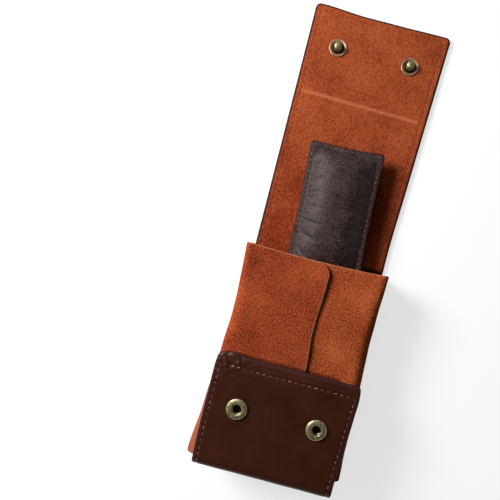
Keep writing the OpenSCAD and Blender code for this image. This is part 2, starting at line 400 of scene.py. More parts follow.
@dataclass(frozen=True)
class Thread:
    """A sewn thread, in mm: stitch pitch, length and width, and how deep a stitch's ends dive."""

    pitch: float = 3.4
    length: float = 2.6
    width: float = 0.72
    slant: float = 0.16
    sunk: float = 0.1
    dive: float = 0.34
    taper: float = 0.25
    squash: float = 0.9

    def sew(
        self, name: str, lines: Sequence[Line], place: Place, finish: Finish, slot: str
    ) -> bpy.types.Object:
        """Sew a row of stitches along each line.

        Args:
            name: Name of the piece.
            lines: Lines on the flat piece.
            place: Maps the flat coordinates and a depth, negative above the face, to the frame.
            finish: The thread's finish.
            slot: The record's material slot.

        Returns:
            All the stitches as one object.
        """
        bm = bmesh.new()
        flat = bm.verts.layers.float_vector.new("flat")
        half = self.length / 2
        for middle, along in (step for line in lines for step in line.steps(self.pitch)):
            across = Vector((along.y, -along.x))
            along = (along + across * self.slant).normalized()
            across = Vector((along.y, -along.x))
            made = bmesh.ops.create_uvsphere(bm, u_segments=6, v_segments=6, radius=1.0)
            for vert in made["verts"]:
                # The sphere's poles lie along the stitch, whose ends dive into their holes
                reach, side, up = vert.co.z, vert.co.x, vert.co.y
                thick = self.width / 2 * (1 - self.taper * reach * reach)
                spot = middle + along * (reach * half) + across * (side * thick)
                depth = self.sunk + self.dive * reach**4 - up * thick * self.squash
                vert[flat] = Vector((spot.x, spot.y, depth)) * MM
                vert.co = place(spot.x, spot.y, depth) * MM
        bmesh.ops.recalc_face_normals(bm, faces=bm.faces)
        return piece(name, bm, [finish], slot)


# Finishes


Add = Callable[..., Any]
Inputs = dict[str | int, Any]
SMOOTH = {"interpolation_type": "SMOOTHSTEP"}
COLOURS = {"data_type": "RGBA"}
TO_EDGE = {"feature": "DISTANCE_TO_EDGE"}


def add_node(tree: bpy.types.NodeTree, kind: str, inputs: Inputs | None = None, **settings: Any) -> Any:
    """Add a shader node with its settings, values and links.

    Args:
        tree: The node tree.
        kind: The node's type, without its common prefix.
        inputs: Values, hex colours or linked output sockets, by input name or number.
        settings: Values of the node's own properties.

    Returns:
        The node's output sockets.
    """
    node = put(tree.nodes.new(f"ShaderNode{kind}"), **settings)
    for key, value in (inputs or {}).items():
        if isinstance(value, bpy.types.NodeSocket):
            tree.links.new(value, node.inputs[key])
        else:
            node.inputs[key].default_value = srgb(value) if isinstance(value, str) else value
    return node.outputs


def seen_share(add: Add) -> Any:
    """Tell the rays by which the camera, a mirror or a glass shows the background.

    Args:
        add: Adds a node to the tree.

    Returns:
        A share that is 1 for those rays and 0 for all others.
    """
    path = add("LightPath")
    seen = path["Is Camera Ray"]
    for kind in ("Is Glossy Ray", "Is Transmission Ray"):
        seen = add("Math", {0: seen, 1: path[kind]}, operation="MAXIMUM")[0]
    return seen


def between(add: Add, limits: Iterable[tuple[Any, float, float]], most: Any = 1.0) -> Any:
    """A share that rises smoothly between limits.

    Args:
        add: Adds a node to the tree.
        limits: Each a value, where its own share is 0 and where it is 1.
        most: The share where every value is past its second limit.

    Returns:
        The product of all the shares.
    """
    for value, none, full in limits:
        inputs = {"Value": value, "From Min": none, "From Max": full, "To Max": most}
        most = add("MapRange", inputs, **SMOOTH)["Result"]
    return most


@dataclass(frozen=True)
class Finish:
    """A finish that makes one node material, under its own name."""

    name: str

    def material(self) -> bpy.types.Material:
        """Make the finish's material once.

        Returns:
            The material, new or as it was made before.
        """
        key = f"finish_{self.name}"
        made = bpy.data.materials.get(key)
        if made is None:
            made = bpy.data.materials.new(key)
            made.use_nodes = True
            made.node_tree.nodes.clear()
            add = partial(add_node, made.node_tree)
            add("OutputMaterial", {"Surface": add("BsdfPrincipled", self.dress(add))["BSDF"]})
        return made

    def dress(self, add: Add) -> Inputs:
        """Add the finish's nodes.

        Args:
            add: Adds a node to the tree.

        Returns:
            Values and sockets for the inputs of its shader.
        """
        raise NotImplementedError


@dataclass(frozen=True)
class PaintedLight:
    """Painted light and shade on the nap: a colour that lies over it between soft limits, lighter where it
    paints light and darker where it paints shade.

    A limit names an axis of the flat piece, where the colour begins and where it is full, in mm.
    """

    tint: str
    most: float
    limits: tuple[tuple[str, float, float], ...]
    blend: str = "MIX"


@dataclass(frozen=True)
class Suede(Finish):
    """Calf suede: split leather, drum dyed and buffed to a short nap.

    The nap scatters light, so there is no gloss, only a soft sheen at grazing angles. Brushed
    patches lie lighter or darker, and the tufts of fibre show as a fine grain. The real
    fibres are 0.05 mm thick, so their tufts are drawn as coarse as they need to show. Where
    the suede is creased or cut, its broken fibres look pale.
    """

    dark: str = "7a301a"
    light: str = "b25a38"
    pale: str = "c27a58"
    tuft: float = 1.05
    patch: float = 20.0
    tones: tuple[float, float] = (0.56, 0.94)
    crease: float | None = None
    crease_half: tuple[float, float] = (1.6, 0.1)
    crease_ends: tuple[float, float] = (36.5, 33.0)
    mottle: tuple[float, float] = (0.4, 0.45)
    # Painted light along the lid: how far past the crease it is full, and the least and most change of the
    # nap's tone
    light_along_lid: tuple[float, float, float] = (20.0, -0.3, 0.14)
    painted_lights: tuple[PaintedLight, ...] = ()
    grain: float = 0.5
    raw: float = 0.6

    def dress(self, add: Add) -> Inputs:
        """Add the nap's tufts, its lighter and darker patches, its broken fibres and the painted light and
        shade over it.
        """
        flat = add("Attribute", attribute_name="flat")["Vector"]
        rim = add("Attribute", attribute_name="rim")["Fac"]
        axes = add("SeparateXYZ", {0: flat})
        tufts, patches = (
            add("TexNoise", {"Vector": flat, "Scale": 1 / (size * MM), "Detail": n, "Roughness": 0.6})["Fac"]
            for size, n in ((self.tuft, 4.0), (self.patch, 2.0))
        )
        both = add("Math", {0: patches, 1: 0.5, 2: tufts}, operation="MULTIPLY_ADD")[0]
        dull, bright = self.tones
        ramp = add("MapRange", {"Value": both, "From Min": dull, "From Max": bright})["Result"]
        broken = between(add, [(rim, self.raw * 1.8, self.raw * 0.4)], 0.5)
        if self.crease is not None:
            ramp, broken = self._creased(add, axes, ramp, broken)
        nap = add("Mix", {0: ramp, 6: self.dark, 7: self.light}, **COLOURS)[2]
        colour = add("Mix", {0: broken, 6: nap, 7: self.pale}, **COLOURS)[2]
        # Painted light and shade lie over the nap's colour
        for painted_mark in self.painted_lights:
            limits = [(axes[axis], none * MM, full * MM) for axis, none, full in painted_mark.limits]
            inputs = {0: between(add, limits, painted_mark.most), 6: colour, 7: painted_mark.tint}
            colour = add("Mix", inputs, blend_type=painted_mark.blend, **COLOURS)[2]
        bump = add("Bump", {"Height": tufts, "Strength": 1.0, "Distance": self.grain * MM})["Normal"]
        return {
            "Base Color": colour, "Normal": bump, "Roughness": 0.95, "Specular IOR Level": 0.06,
            "Sheen Weight": 0.08, "Sheen Roughness": 0.3, "Sheen Tint": "ff9468",
        }

    def _creased(self, add: Add, axes: Any, ramp: Any, broken: Any) -> tuple[Any, Any]:
        """Paint light along the lid, darker at the spine and lighter towards the lid's end, and break the
        fibres along the crease.

        Args:
            add: Adds a node to the tree.
            axes: Outputs with the flat piece's coordinates.
            ramp: Share of the nap's light colour.
            broken: Share of the broken fibres' pale colour.

        Returns:
            Both shares, changed.
        """
        past, least, most = self.light_along_lid
        along = {"Value": axes["Y"], "From Max": (self.crease + past) * MM, "To Min": least, "To Max": most}
        ramp = add("Math", {0: ramp, 1: add("MapRange", along, **SMOOTH)["Result"]}, operation="ADD")[0]
        run = add("Math", {0: axes["X"], 1: CREASE_SLOPE, 2: axes["Y"]}, operation="MULTIPLY_ADD")[0]
        bands = ((run, self.crease, *self.crease_half), (axes["X"], 0.0, *self.crease_ends))
        limits = [
            (value, (middle + sign * none) * MM, (middle + sign * full) * MM)
            for value, middle, none, full in bands for sign in (-1, 1)
        ]
        by, plus = self.mottle
        mottled = add("Math", {0: ramp, 1: by, 2: plus}, operation="MULTIPLY_ADD")[0]
        line = between(add, limits, mottled)
        return ramp, add("Math", {0: broken, 1: line}, operation="MAXIMUM")[0]


@dataclass(frozen=True)
class SmoothLeather(Finish):
    """Full-grain calf, aniline dyed dark brown and glazed with a thin top coat.

    The glaze gives a soft, broad sheen over fine pores. Dye gathers unevenly, and the leather dips where the
    seam draws it in. The outer margin takes a purple brown burnish, which partly paints the sheen of its
    rolled edge. The real pores are 0.1 to 0.2 mm apart and are drawn at the smallest size that still shows.
    """

    dark: str = "301409"
    light: str = "3e1c0f"
    burnish_and_sheen: str = "3c1d21"
    pore: float = 0.7
    wrinkle: float = 2.5
    cloud: float = 16.0
    wrinkled: float = 0.12
    pitted: float = 0.05

    def dress(self, add: Add) -> Inputs:
        """Add the dye's clouds, the pores and the edge's burnish with its painted sheen."""
        flat = add("Attribute", attribute_name="flat")["Vector"]
        rim = add("Attribute", attribute_name="rim")["Fac"]
        clouds, wrinkles = (
            add("TexNoise", {"Vector": flat, "Scale": 1 / (size * MM), "Detail": n, "Roughness": 0.6})["Fac"]
            for size, n in ((self.cloud, 5.0), (self.wrinkle, 3.0))
        )
        cells = add("TexVoronoi", {"Vector": flat, "Scale": 1 / (self.pore * MM)}, **TO_EDGE)["Distance"]
        pores = add("MapRange", {"Value": cells, "From Max": 0.22})["Result"]
        dyed = add("MapRange", {"Value": clouds, "From Min": 0.3, "From Max": 0.7})["Result"]
        body = add("Mix", {0: dyed, 6: self.dark, 7: self.light}, **COLOURS)[2]
        # Near the cut edge the colour turns purple brown: partly a burnish, partly painted sheen on the
        # rolled edge
        edge = between(add, [(rim, 2.2, 0.6)])
        coarse = add("Bump", {"Height": wrinkles, "Strength": 0.5, "Distance": self.wrinkled * MM})["Normal"]
        fine = {"Height": pores, "Strength": 0.35, "Distance": self.pitted * MM, "Normal": coarse}
        return {
            "Base Color": add("Mix", {0: edge, 6: body, 7: self.burnish_and_sheen}, **COLOURS)[2],
            "Roughness": add("MapRange", {"Value": dyed, "To Min": 0.34, "To Max": 0.46})["Result"],
            "Normal": add("Bump", fine)["Normal"], "Specular IOR Level": 0.22, "Specular Tint": "ffdccb",
        }


@dataclass(frozen=True)
class GrainedLeather(Finish):
    """Pebbled cowhide of the cushion: shrunken grain, drum dyed and matt, with the tops of the pebbles
    painted lighter as their highlights.

    Pebbles are 0.8 to 1.5 mm wide, and the valleys between them are darker, partly dye and partly painted
    shade.
    """

    valley_dye_and_shade: str = "221312"
    pebble_top_highlight: str = "5c4340"
    size: float = 1.1
    bend: float = 2.0
    cloud: float = 7.0
    uneven: float = 0.6
    deep: float = 0.12

    def dress(self, add: Add) -> Inputs:
        """Add the pebbles."""
        place = add("TexCoord")["Object"]
        bent = add("TexNoise", {"Vector": place, "Scale": 1 / (self.bend * MM), "Detail": 2.0})["Color"]
        push = {0: bent, 1: (self.uneven * MM,) * 3, 2: place}
        moved = add("VectorMath", push, operation="MULTIPLY_ADD")[0]
        pattern = {"Vector": moved, "Scale": 1 / (self.size * MM), "Randomness": 0.9}
        rise = between(add, [(add("TexVoronoi", pattern, **TO_EDGE)["Distance"], 0.02, 0.3)])
        clouds = add("TexNoise", {"Vector": place, "Scale": 1 / (self.cloud * MM), "Detail": 4.0})["Fac"]
        # The colour follows the pebbles' height: lighter tops as painted highlights, darker valleys as dye
        # and painted shade
        tone = add("Math", {0: rise, 1: clouds}, operation="MULTIPLY")[0]
        ramp = add("MapRange", {"Value": tone, "From Min": 0.05, "From Max": 0.65})["Result"]
        return {
            "Base Color": add("Mix", {0: ramp, 6: self.valley_dye_and_shade, 7: self.pebble_top_highlight}, **COLOURS)[2],
            "Normal": add("Bump", {"Height": rise, "Strength": 0.6, "Distance": self.deep * MM})["Normal"],
            "Roughness": 0.5, "Specular IOR Level": 0.24,
        }


@dataclass(frozen=True)
class CutEdge(Finish):
    """A cut edge: painted with acrylic edge paint, or raw fibre where it is left bare.

    Edge paint is laid on with a brush in two coats, which leaves it smooth and satin with slight waves. A
    raw edge shows the paler, loose fibres inside the suede.
    """

    dark: str = "1f0b08"
    light: str = "441f18"
    rough: float = 0.6
    wave: float = 1.6
    shine: float = 0.1
    deep: float = 0.1

    def dress(self, add: Add) -> Inputs:
        """Add the brushed waves or the fibres."""
        flat = add("Attribute", attribute_name="flat")["Vector"]
        pattern = {"Vector": flat, "Scale": 1 / (self.wave * MM), "Detail": 3.0, "Roughness": 0.6}
        waves = add("TexNoise", pattern)["Fac"]
        ramp = add("MapRange", {"Value": waves, "From Min": 0.35, "From Max": 0.65})["Result"]
        return {
            "Base Color": add("Mix", {0: ramp, 6: self.dark, 7: self.light}, **COLOURS)[2],
            "Normal": add("Bump", {"Height": waves, "Strength": 0.4, "Distance": self.deep * MM})["Normal"],
            "Roughness": self.rough, "Specular IOR Level": self.shine,
        }


@dataclass(frozen=True)
class WaxedThread(Finish):
    """Waxed polyester thread, three plies twisted, with a dull shine on its round back.

    The plies' twist repeats each 0.7 mm and shows as slanting bands.
    """

    dark: str = "40221e"
    light: str = "94695d"
    twist: float = 0.7
    uneven: float = 3.1
    deep: float = 0.08

    def dress(self, add: Add) -> Inputs:
        """Add the twist."""
        flat = add("Attribute", attribute_name="flat")["Vector"]
        bands = {"Vector": flat, "Scale": 0.16 / (self.twist * MM), "Distortion": 1.5}
        plies = add("TexWave", bands, wave_type="BANDS", bands_direction="DIAGONAL")["Fac"]
        soil = add("TexNoise", {"Vector": flat, "Scale": 1 / (self.uneven * MM), "Detail": 1.0})["Fac"]
        tone = add("Math", {0: plies, 1: soil}, operation="MULTIPLY")[0]
        ramp = add("MapRange", {"Value": tone, "From Max": 0.5})["Result"]
        return {
            "Base Color": add("Mix", {0: ramp, 6: self.dark, 7: self.light}, **COLOURS)[2],
            "Normal": add("Bump", {"Height": plies, "Strength": 0.5, "Distance": self.deep * MM})["Normal"],
            "Roughness": 0.5, "Specular IOR Level": 0.2,
        }


@dataclass(frozen=True)
class AntiqueBrass(Finish):
    """Die-stamped brass, blackened and then tumbled, so that only the high places are bright.

    The patina stays in the mouth of a socket, round a stud's cone and in small pits. Past the foot's radius
    the rolled rim is darker too, partly patina under the rim and partly painted shade on its outer wall.
    """

    bright: str = "a69b72"
    rim: str = "b0a57c"
    patina: str = "241e12"
    rough: float = 0.42
    centre_y: float = 0.0
    ring: tuple[float, float, float, float] = (0.0, 0.1, 2.6, 3.0)
    foot: float = 5.0
    pit: float = 1.1
    deep: float = 0.06

    def dress(self, add: Add) -> Inputs:
        """Add the patina by distance from each snap's middle, and the pits."""
        place = add("TexCoord")["Object"]
        folded = add("VectorMath", {0: place}, operation="ABSOLUTE")["Vector"]
        middle = (-SNAP_X * MM, -abs(self.centre_y) * MM, 0.0)
        apart = add("VectorMath", {0: folded, 1: (1, 1, 0), 2: middle}, operation="MULTIPLY_ADD")["Vector"]
        radius = add("VectorMath", {0: apart}, operation="LENGTH")["Value"]
        begin, full, fade, end = (r * MM for r in self.ring)
        ring = between(add, [(radius, begin, full), (radius, end, fade)])
        # Past the foot's radius: partly patina, partly painted shade on the rim's outer wall
        under = between(add, [(radius, self.foot * MM, (self.foot + 0.35) * MM)])
        patina_and_foot_shade = add("Math", {0: ring, 1: under}, operation="ADD")[0]
        # Past the ring the brass takes the rim's colour; on the stud its pinkish tint is a painted
        # reflection of the suede round it
        outer = add("MapRange", {"Value": radius, "From Min": fade, "From Max": end})["Result"]
        brass = add("Mix", {0: outer, 6: self.bright, 7: self.rim}, **COLOURS)[2]
        pattern = {"Vector": place, "Scale": 1 / (self.pit * MM), "Detail": 3.0, "Roughness": 0.7}
        pits = add("TexNoise", pattern)["Fac"]
        dull = add("MapRange", {"Value": pits, "From Min": 0.53, "From Max": 0.64})["Result"]
        worn = add("Math", {0: patina_and_foot_shade, 1: dull}, operation="MAXIMUM", use_clamp=True)[0]
        return {
            "Base Color": add("Mix", {0: worn, 6: brass, 7: self.patina}, **COLOURS)[2],
            "Roughness": add("MapRange", {"Value": worn, "To Min": self.rough, "To Max": 0.65})["Result"],
            "Normal": add("Bump", {"Height": pits, "Strength": 0.4, "Distance": self.deep * MM})["Normal"],
            "Metallic": 1.0,
        }


@dataclass(frozen=True)
class Tabletop(Finish):
    """White laminate: plain and matt. Where it is seen or mirrored it partly glows white.

    The case gets only the light that a pale grey table would send back to it.
    """

    seen: str = "a0a0a0"
    lit: str = "c8c8c8"
    glow: float = 0.7

    def dress(self, add: Add) -> Inputs:
        """Use the whiter look where the table is seen or mirrored."""
        seen = seen_share(add)
        return {
            "Base Color": add("Mix", {0: seen, 6: self.lit, 7: self.seen}, **COLOURS)[2],
            "Emission Strength": add("Math", {0: seen, 1: self.glow}, operation="MULTIPLY")[0],
            "Emission Color": "ffffff", "Roughness": 0.9, "Specular IOR Level": 0.0,
        }


CALF = SmoothLeather("glazed_calf")
# Painted shade on the lining: a dark band in the fold at the mouth, only right of the middle, where it also
# paints the cushion's shadow
MOUTH_PAINTED_SHADE = PaintedLight(
    "4a1810", 0.95, (("X", 6.0, 9.0), ("Y", -13.6, -12.17), ("Y", -8.4, -9.83)), "MULTIPLY",
)
# Painted shade on the wings' fronts, in a band along the flap's edge
FLAP_PAINTED_SHADE = PaintedLight(
    "4a1810", 0.6, (("X", 37.0, 40.0), ("Y", 57.3, 58.51), ("Y", 61.7, 60.49)), "MULTIPLY",
)
# Where painted light lies on the lower corner of a wing's side, beside the flap
PAINTED_LIGHT_CORNER = (("Y", 60.0, 70.0), ("X", 24.0, 32.0), ("X", 41.0, 36.5))
LID_SUEDE = Suede(
    "lining_suede", dark="772c14", light="ae552f", pale="c8704a", crease=CREASE, painted_lights=(MOUTH_PAINTED_SHADE,),
)
LEFT_SUEDE = Suede(
    "left_wing", dark="6e2410", light="b1542f", grain=0.7,
    # A pale painted highlight on the lit corner of the left wing, and painted shade along the flap's edge
    painted_lights=(PaintedLight("a25f44", 0.75, PAINTED_LIGHT_CORNER), FLAP_PAINTED_SHADE),
)
RIGHT_SUEDE = Suede(
    "right_wing", dark="823315", light="c46539", grain=0.7,
    # Dark painted shade on the shaded corner of the right wing, and painted shade along the flap's edge
    painted_lights=(PaintedLight("3a1a1c", 0.8, PAINTED_LIGHT_CORNER), FLAP_PAINTED_SHADE),
)
RAW_EDGE = CutEdge("raw_suede_edge", dark="743828", light="a4644e", rough=0.9, wave=0.5, shine=0.05)
EDGE_PAINT = CutEdge("edge_paint")
PALE_THREAD = WaxedThread("waxed_thread")
DARK_THREAD = WaxedThread("waxed_thread_lining", dark="642410", light="98482a")
PEBBLED = GrainedLeather("pebbled_cowhide")

# How far the worn strip's edges lie outside their nominal places, in mm: the sides by run,
# and the free ends by x
LEFT_EDGE = (
    (-217.6, -0.3), (-211.0, 0.2), (-191.0, 0.0), (-172.0, -0.3), (-160.0, -0.8), (-128.0, 0.0),
    (131.85, 0.0),
)
RIGHT_EDGE = (
    (-217.6, 0.2), (-211.0, 0.95), (-203.0, 0.7), (-185.0, 0.1), (-163.0, -0.75), (-128.0, 0.0),
    (-40.0, -0.9), (-8.0, -1.6), (10.0, -1.75), (40.0, -1.1), (76.0, -0.46), (107.0, 0.07), (131.85, 0.5),
)
LID_END = (
    (-40.0, 0.25), (-33.0, 0.35), (-27.0, 0.07), (-21.0, -0.33), (-15.0, -0.7), (-9.0, -0.85),
    (3.0, -0.75), (15.0, -0.75), (27.0, -0.5), (40.0, -0.45),
)
FLAP_END = (
    (-38.5, -0.3), (-34.5, 1.1), (-30.4, 1.7), (-26.0, 1.25), (-21.6, 0.85), (-10.7, 0.5), (5.4, 0.75),
    (38.5, 0.6),
)


# The strip


@dataclass(frozen=True)
class Strip:
    """The long strip: leather outside, lining inside, from the lid's end to the flap's end.

    A place on it has an x across, a run along it, which is Y on the flat back, and a depth
    from the outer face of the leather inwards. Past the back's end the run goes on round
    the bottom bend, up the wall, round the upper bend and along the flap.
    """

    half: float = 38.5
    end_half: float = 40.0
    leather: float = 1.4
    lining: float = 1.3
    height: float = 33.0
    bend_in: float = 1.2
    bottom_y: float = -131.85
    mouth_y: float = -11.85
    fold_1: float = -10.85
    fold_2: float = 22.25
    end_y: float = 131.85
    flap_l: float = 60.5
    corner: float = 3.0
    flap_corner: float = 1.8
    seam: float = 3.7
    flap_seam: float = 6.0
    flap_side_seam: float = 2.7
    foot_half: float = 32.2

    @property
    def thick(self) -> float:
        """Thickness of both layers."""
        return self.leather + self.lining

    @property
    def outer_r(self) -> float:
        """Outer radius of the bends."""
        return self.bend_in + self.thick

    @property
    def bend_y(self) -> float:
        """Where the bends begin along Y."""
        return self.bottom_y + self.outer_r

    @property
    def arc(self) -> float:
        """Run round one bend, where leather and lining meet."""
        return (self.bend_in + self.lining) * math.pi / 2

    @property
    def wall(self) -> float:
        """Straight part of the bottom wall."""
        return self.height - 2 * self.outer_r

    @property
    def flap_run(self) -> float:
        """Run at which the flap begins, past its bend."""
        return self.bend_y - 2 * self.arc - self.wall

    @property
    def last_run(self) -> float:
        """Run at the flap's free edge."""
        return self.flap_run - (self.flap_l - self.outer_r)

    def half_at(self, run: float) -> float:
        """Half width at a run, without the round corners."""
        share = min(max((run - self.fold_1) / (self.end_y - self.fold_1), 0.0), 1.0)
        return self.half + (self.end_half - self.half) * share

    def corner_at(self, run: float) -> float:
        """Corner radius of the free end nearest to a run."""
        return self.corner if run > 0 else self.flap_corner

    @property
    def socket_run(self) -> float:
        """Run of the sockets on the flap."""
        return self.flap_run - (SOCKET_Y - self.bend_y)

    def place(self, x: float, run: float, depth: float) -> Vector:
        """Lay a place on the strip into the frame, with the shifts of its worn edges.

        Args:
            x: Place across.
            run: Place along.
            depth: Depth below the leather's outer face.

        Returns:
            The point in mm.
        """
        shift = through(RIGHT_EDGE if x > 0 else LEFT_EDGE, run)
        run += through(LID_END, x) * ease(run, self.end_y - 30, self.end_y)
        run -= through(FLAP_END, x) * ease(-run, -self.last_run - 10, -self.last_run)
        x += shift * x / self.half
        over = self.bend_y - run
        parts = ((0.0, self.arc), (self.arc, self.wall), (self.arc + self.wall, self.arc))
        lower, risen, upper = (min(max(over - begin, 0.0), size) for begin, size in parts)
        turn = (lower + upper) / self.arc * math.pi / 2
        beyond = max(-over, over - 2 * self.arc - self.wall, 0.0)
        r = self.outer_r - depth
        y = self.bend_y + beyond - r * math.sin(turn)
        return Vector((x, y, self.outer_r + risen - r * math.cos(turn)))

    def bends(self, fine: float) -> list[tuple[float, float, float]]:
        """Where both bends are and how far they reach, with the fine step there."""
        middles = (self.bend_y - self.arc / 2, self.flap_run + self.arc / 2)
        return [(middle, self.arc, fine) for middle in middles]

    def rims(self, x: float, run: float) -> tuple[float, float]:
        """Distances to the side edge and to the nearest free end."""
        return self.half_at(run) - abs(x), min(self.end_y - run, run - self.last_run)

    def rim(self, x: float, run: float) -> float:
        """Measure to the strip's cut edge, also round its corners.

        Args:
            x: Place across.
            run: Place along.

        Returns:
            The distance in mm.
        """
        side, end = self.rims(x, run)
        radius = self.corner_at(run)
        if side < radius and end < radius:
            return radius - math.hypot(radius - side, radius - end)
        return min(side, end)

    def side_seam(self, run: float) -> float:
        """How far the perimeter seam lies inside the side edge, which is less on the flap."""
        return self.seam - (self.seam - self.flap_side_seam) * ease(-run, -self.bend_y, -self.flap_run)

    def to_seam(self, x: float, run: float) -> float:
        """Measure to the line of the perimeter seam.

        Args:
            x: Place across.
            run: Place along.

        Returns:
            The distance in mm.
        """
        side, end = self.rims(x, run)
        end_seam = self.seam if run > 0 else self.flap_seam
        return abs(min(side - self.side_seam(run), end - end_seam))

    def outline(self, low: float, high: float, inset: float, step: float = 1.0) -> list[Line]:
        """The strip's edge between two runs, moved inwards, in one or two lines.

        Args:
            low: Lowest run, or less than the flap's end to go round it.
            high: Highest run, or more than the lid's end to go round it.
            inset: How far the line lies inside the edge.
            step: Distance between its points.

        Returns:
            Lines that keep the strip on their left, so that their normals point outwards.
        """
        at_lid, at_flap = high > self.end_y, low < self.last_run
        top = min(high, self.end_y - inset)
        bottom = max(low, self.last_run + inset)
        radius = max(self.corner_at(high if at_lid else low) - inset, 0.6)
        # The side lines leave room for the corners of a free end
        runs = spread(bottom + radius * at_flap, top - radius * at_lid, step, self.bends(0.35))
        runs = runs[at_flap : len(runs) - at_lid]
        right = [Vector((self.half_at(r) - inset, r)) for r in runs]
        left = [Vector((-p.x, p.y)) for p in reversed(right)]
        if not (at_lid or at_flap):
            return [Line(right), Line(left)]
        # Round a free end: the lid's from right to left, or the flap's from left to right
        sign, tip = (1, top) if at_lid else (-1, bottom)
        first, last = (right, left)[::sign]
        wide = self.half_at(sign * self.end_y) - inset - radius
        turn = [
            Vector((sign * (wide + radius * math.cos(a)), tip - sign * (radius - radius * math.sin(a))))
            for a in (math.radians(d) for d in range(0, 91, 15))
        ]
        across = [Vector((x, tip)) for x in spread(-wide, wide, step)[1:-1]]
        end = turn + across[::-sign] + [Vector((-p.x, p.y)) for p in reversed(turn)]
        return [Line(first + end + last)]

    def seam_lines(self, low: float, high: float) -> list[Line]:
        """Draw the perimeter seam between two runs.

        Args:
            low: Lowest run.
            high: Highest run.

        Returns:
            One or two lines.
        """
        lines = self.outline(low, high, self.seam)
        for p in (point for line in lines for point in line.points):
            p.x *= (self.half - self.side_seam(p.y)) / (self.half - self.seam)
            if low < self.last_run:
                push = self.flap_seam - self.seam
                p.y += push * ease(-p.y, -self.last_run - 9, -self.last_run - self.seam)
        return lines


STRIP = Strip()


@dataclass(frozen=True)
class Section:
    """A length of the strip that bends at one joint, between two bodies.

    It bends between two places, given by their Y and Z, and stands for some CAD panels.
    """

    name: str
    panels: tuple[str, ...]
    low: float
    high: float
    bodies: tuple[Body, Body]
    start: tuple[float, float]
    end: tuple[float, float]

    def bend(self, obj: bpy.types.Object) -> None:
        """Bake the transform of a finished piece of this section into its mesh."""
        first, second = (body.value for body in self.bodies)
        start, end = ((0.0, y * MM, z * MM) for y, z in (self.start, self.end))
        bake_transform(obj)
        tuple(start)
        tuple(end)


@dataclass(frozen=True)
class Skin:
    """How one layer of the strip is cut, dressed and sewn, with its sizes in mm.

    It ends inside the painted edge, and on the flap it has a hole at each socket: one for
    the post in the leather, and a wider one for the post's flange in the lining.
    """

    finish: Finish
    slot: str
    thread: Finish
    inset: float
    hole: float


SKINS = {
    Layer.LEATHER: Skin(CALF, "strip_leather", PALE_THREAD, inset=0.5, hole=3.0),
    Layer.LINING: Skin(LID_SUEDE, "lid_suede", DARK_THREAD, inset=1.15, hole=4.6),
}
# The dent that the cushion's nearer corner leaves in the spine's lining while the lid is closed:
# where it has begun and where it is full, past the first fold and across
DENT_RUN = ((0.5, 3.0), (24.0, 20.0))
DENT_X = ((-4.0, 12.0), (23.0, 21.2))


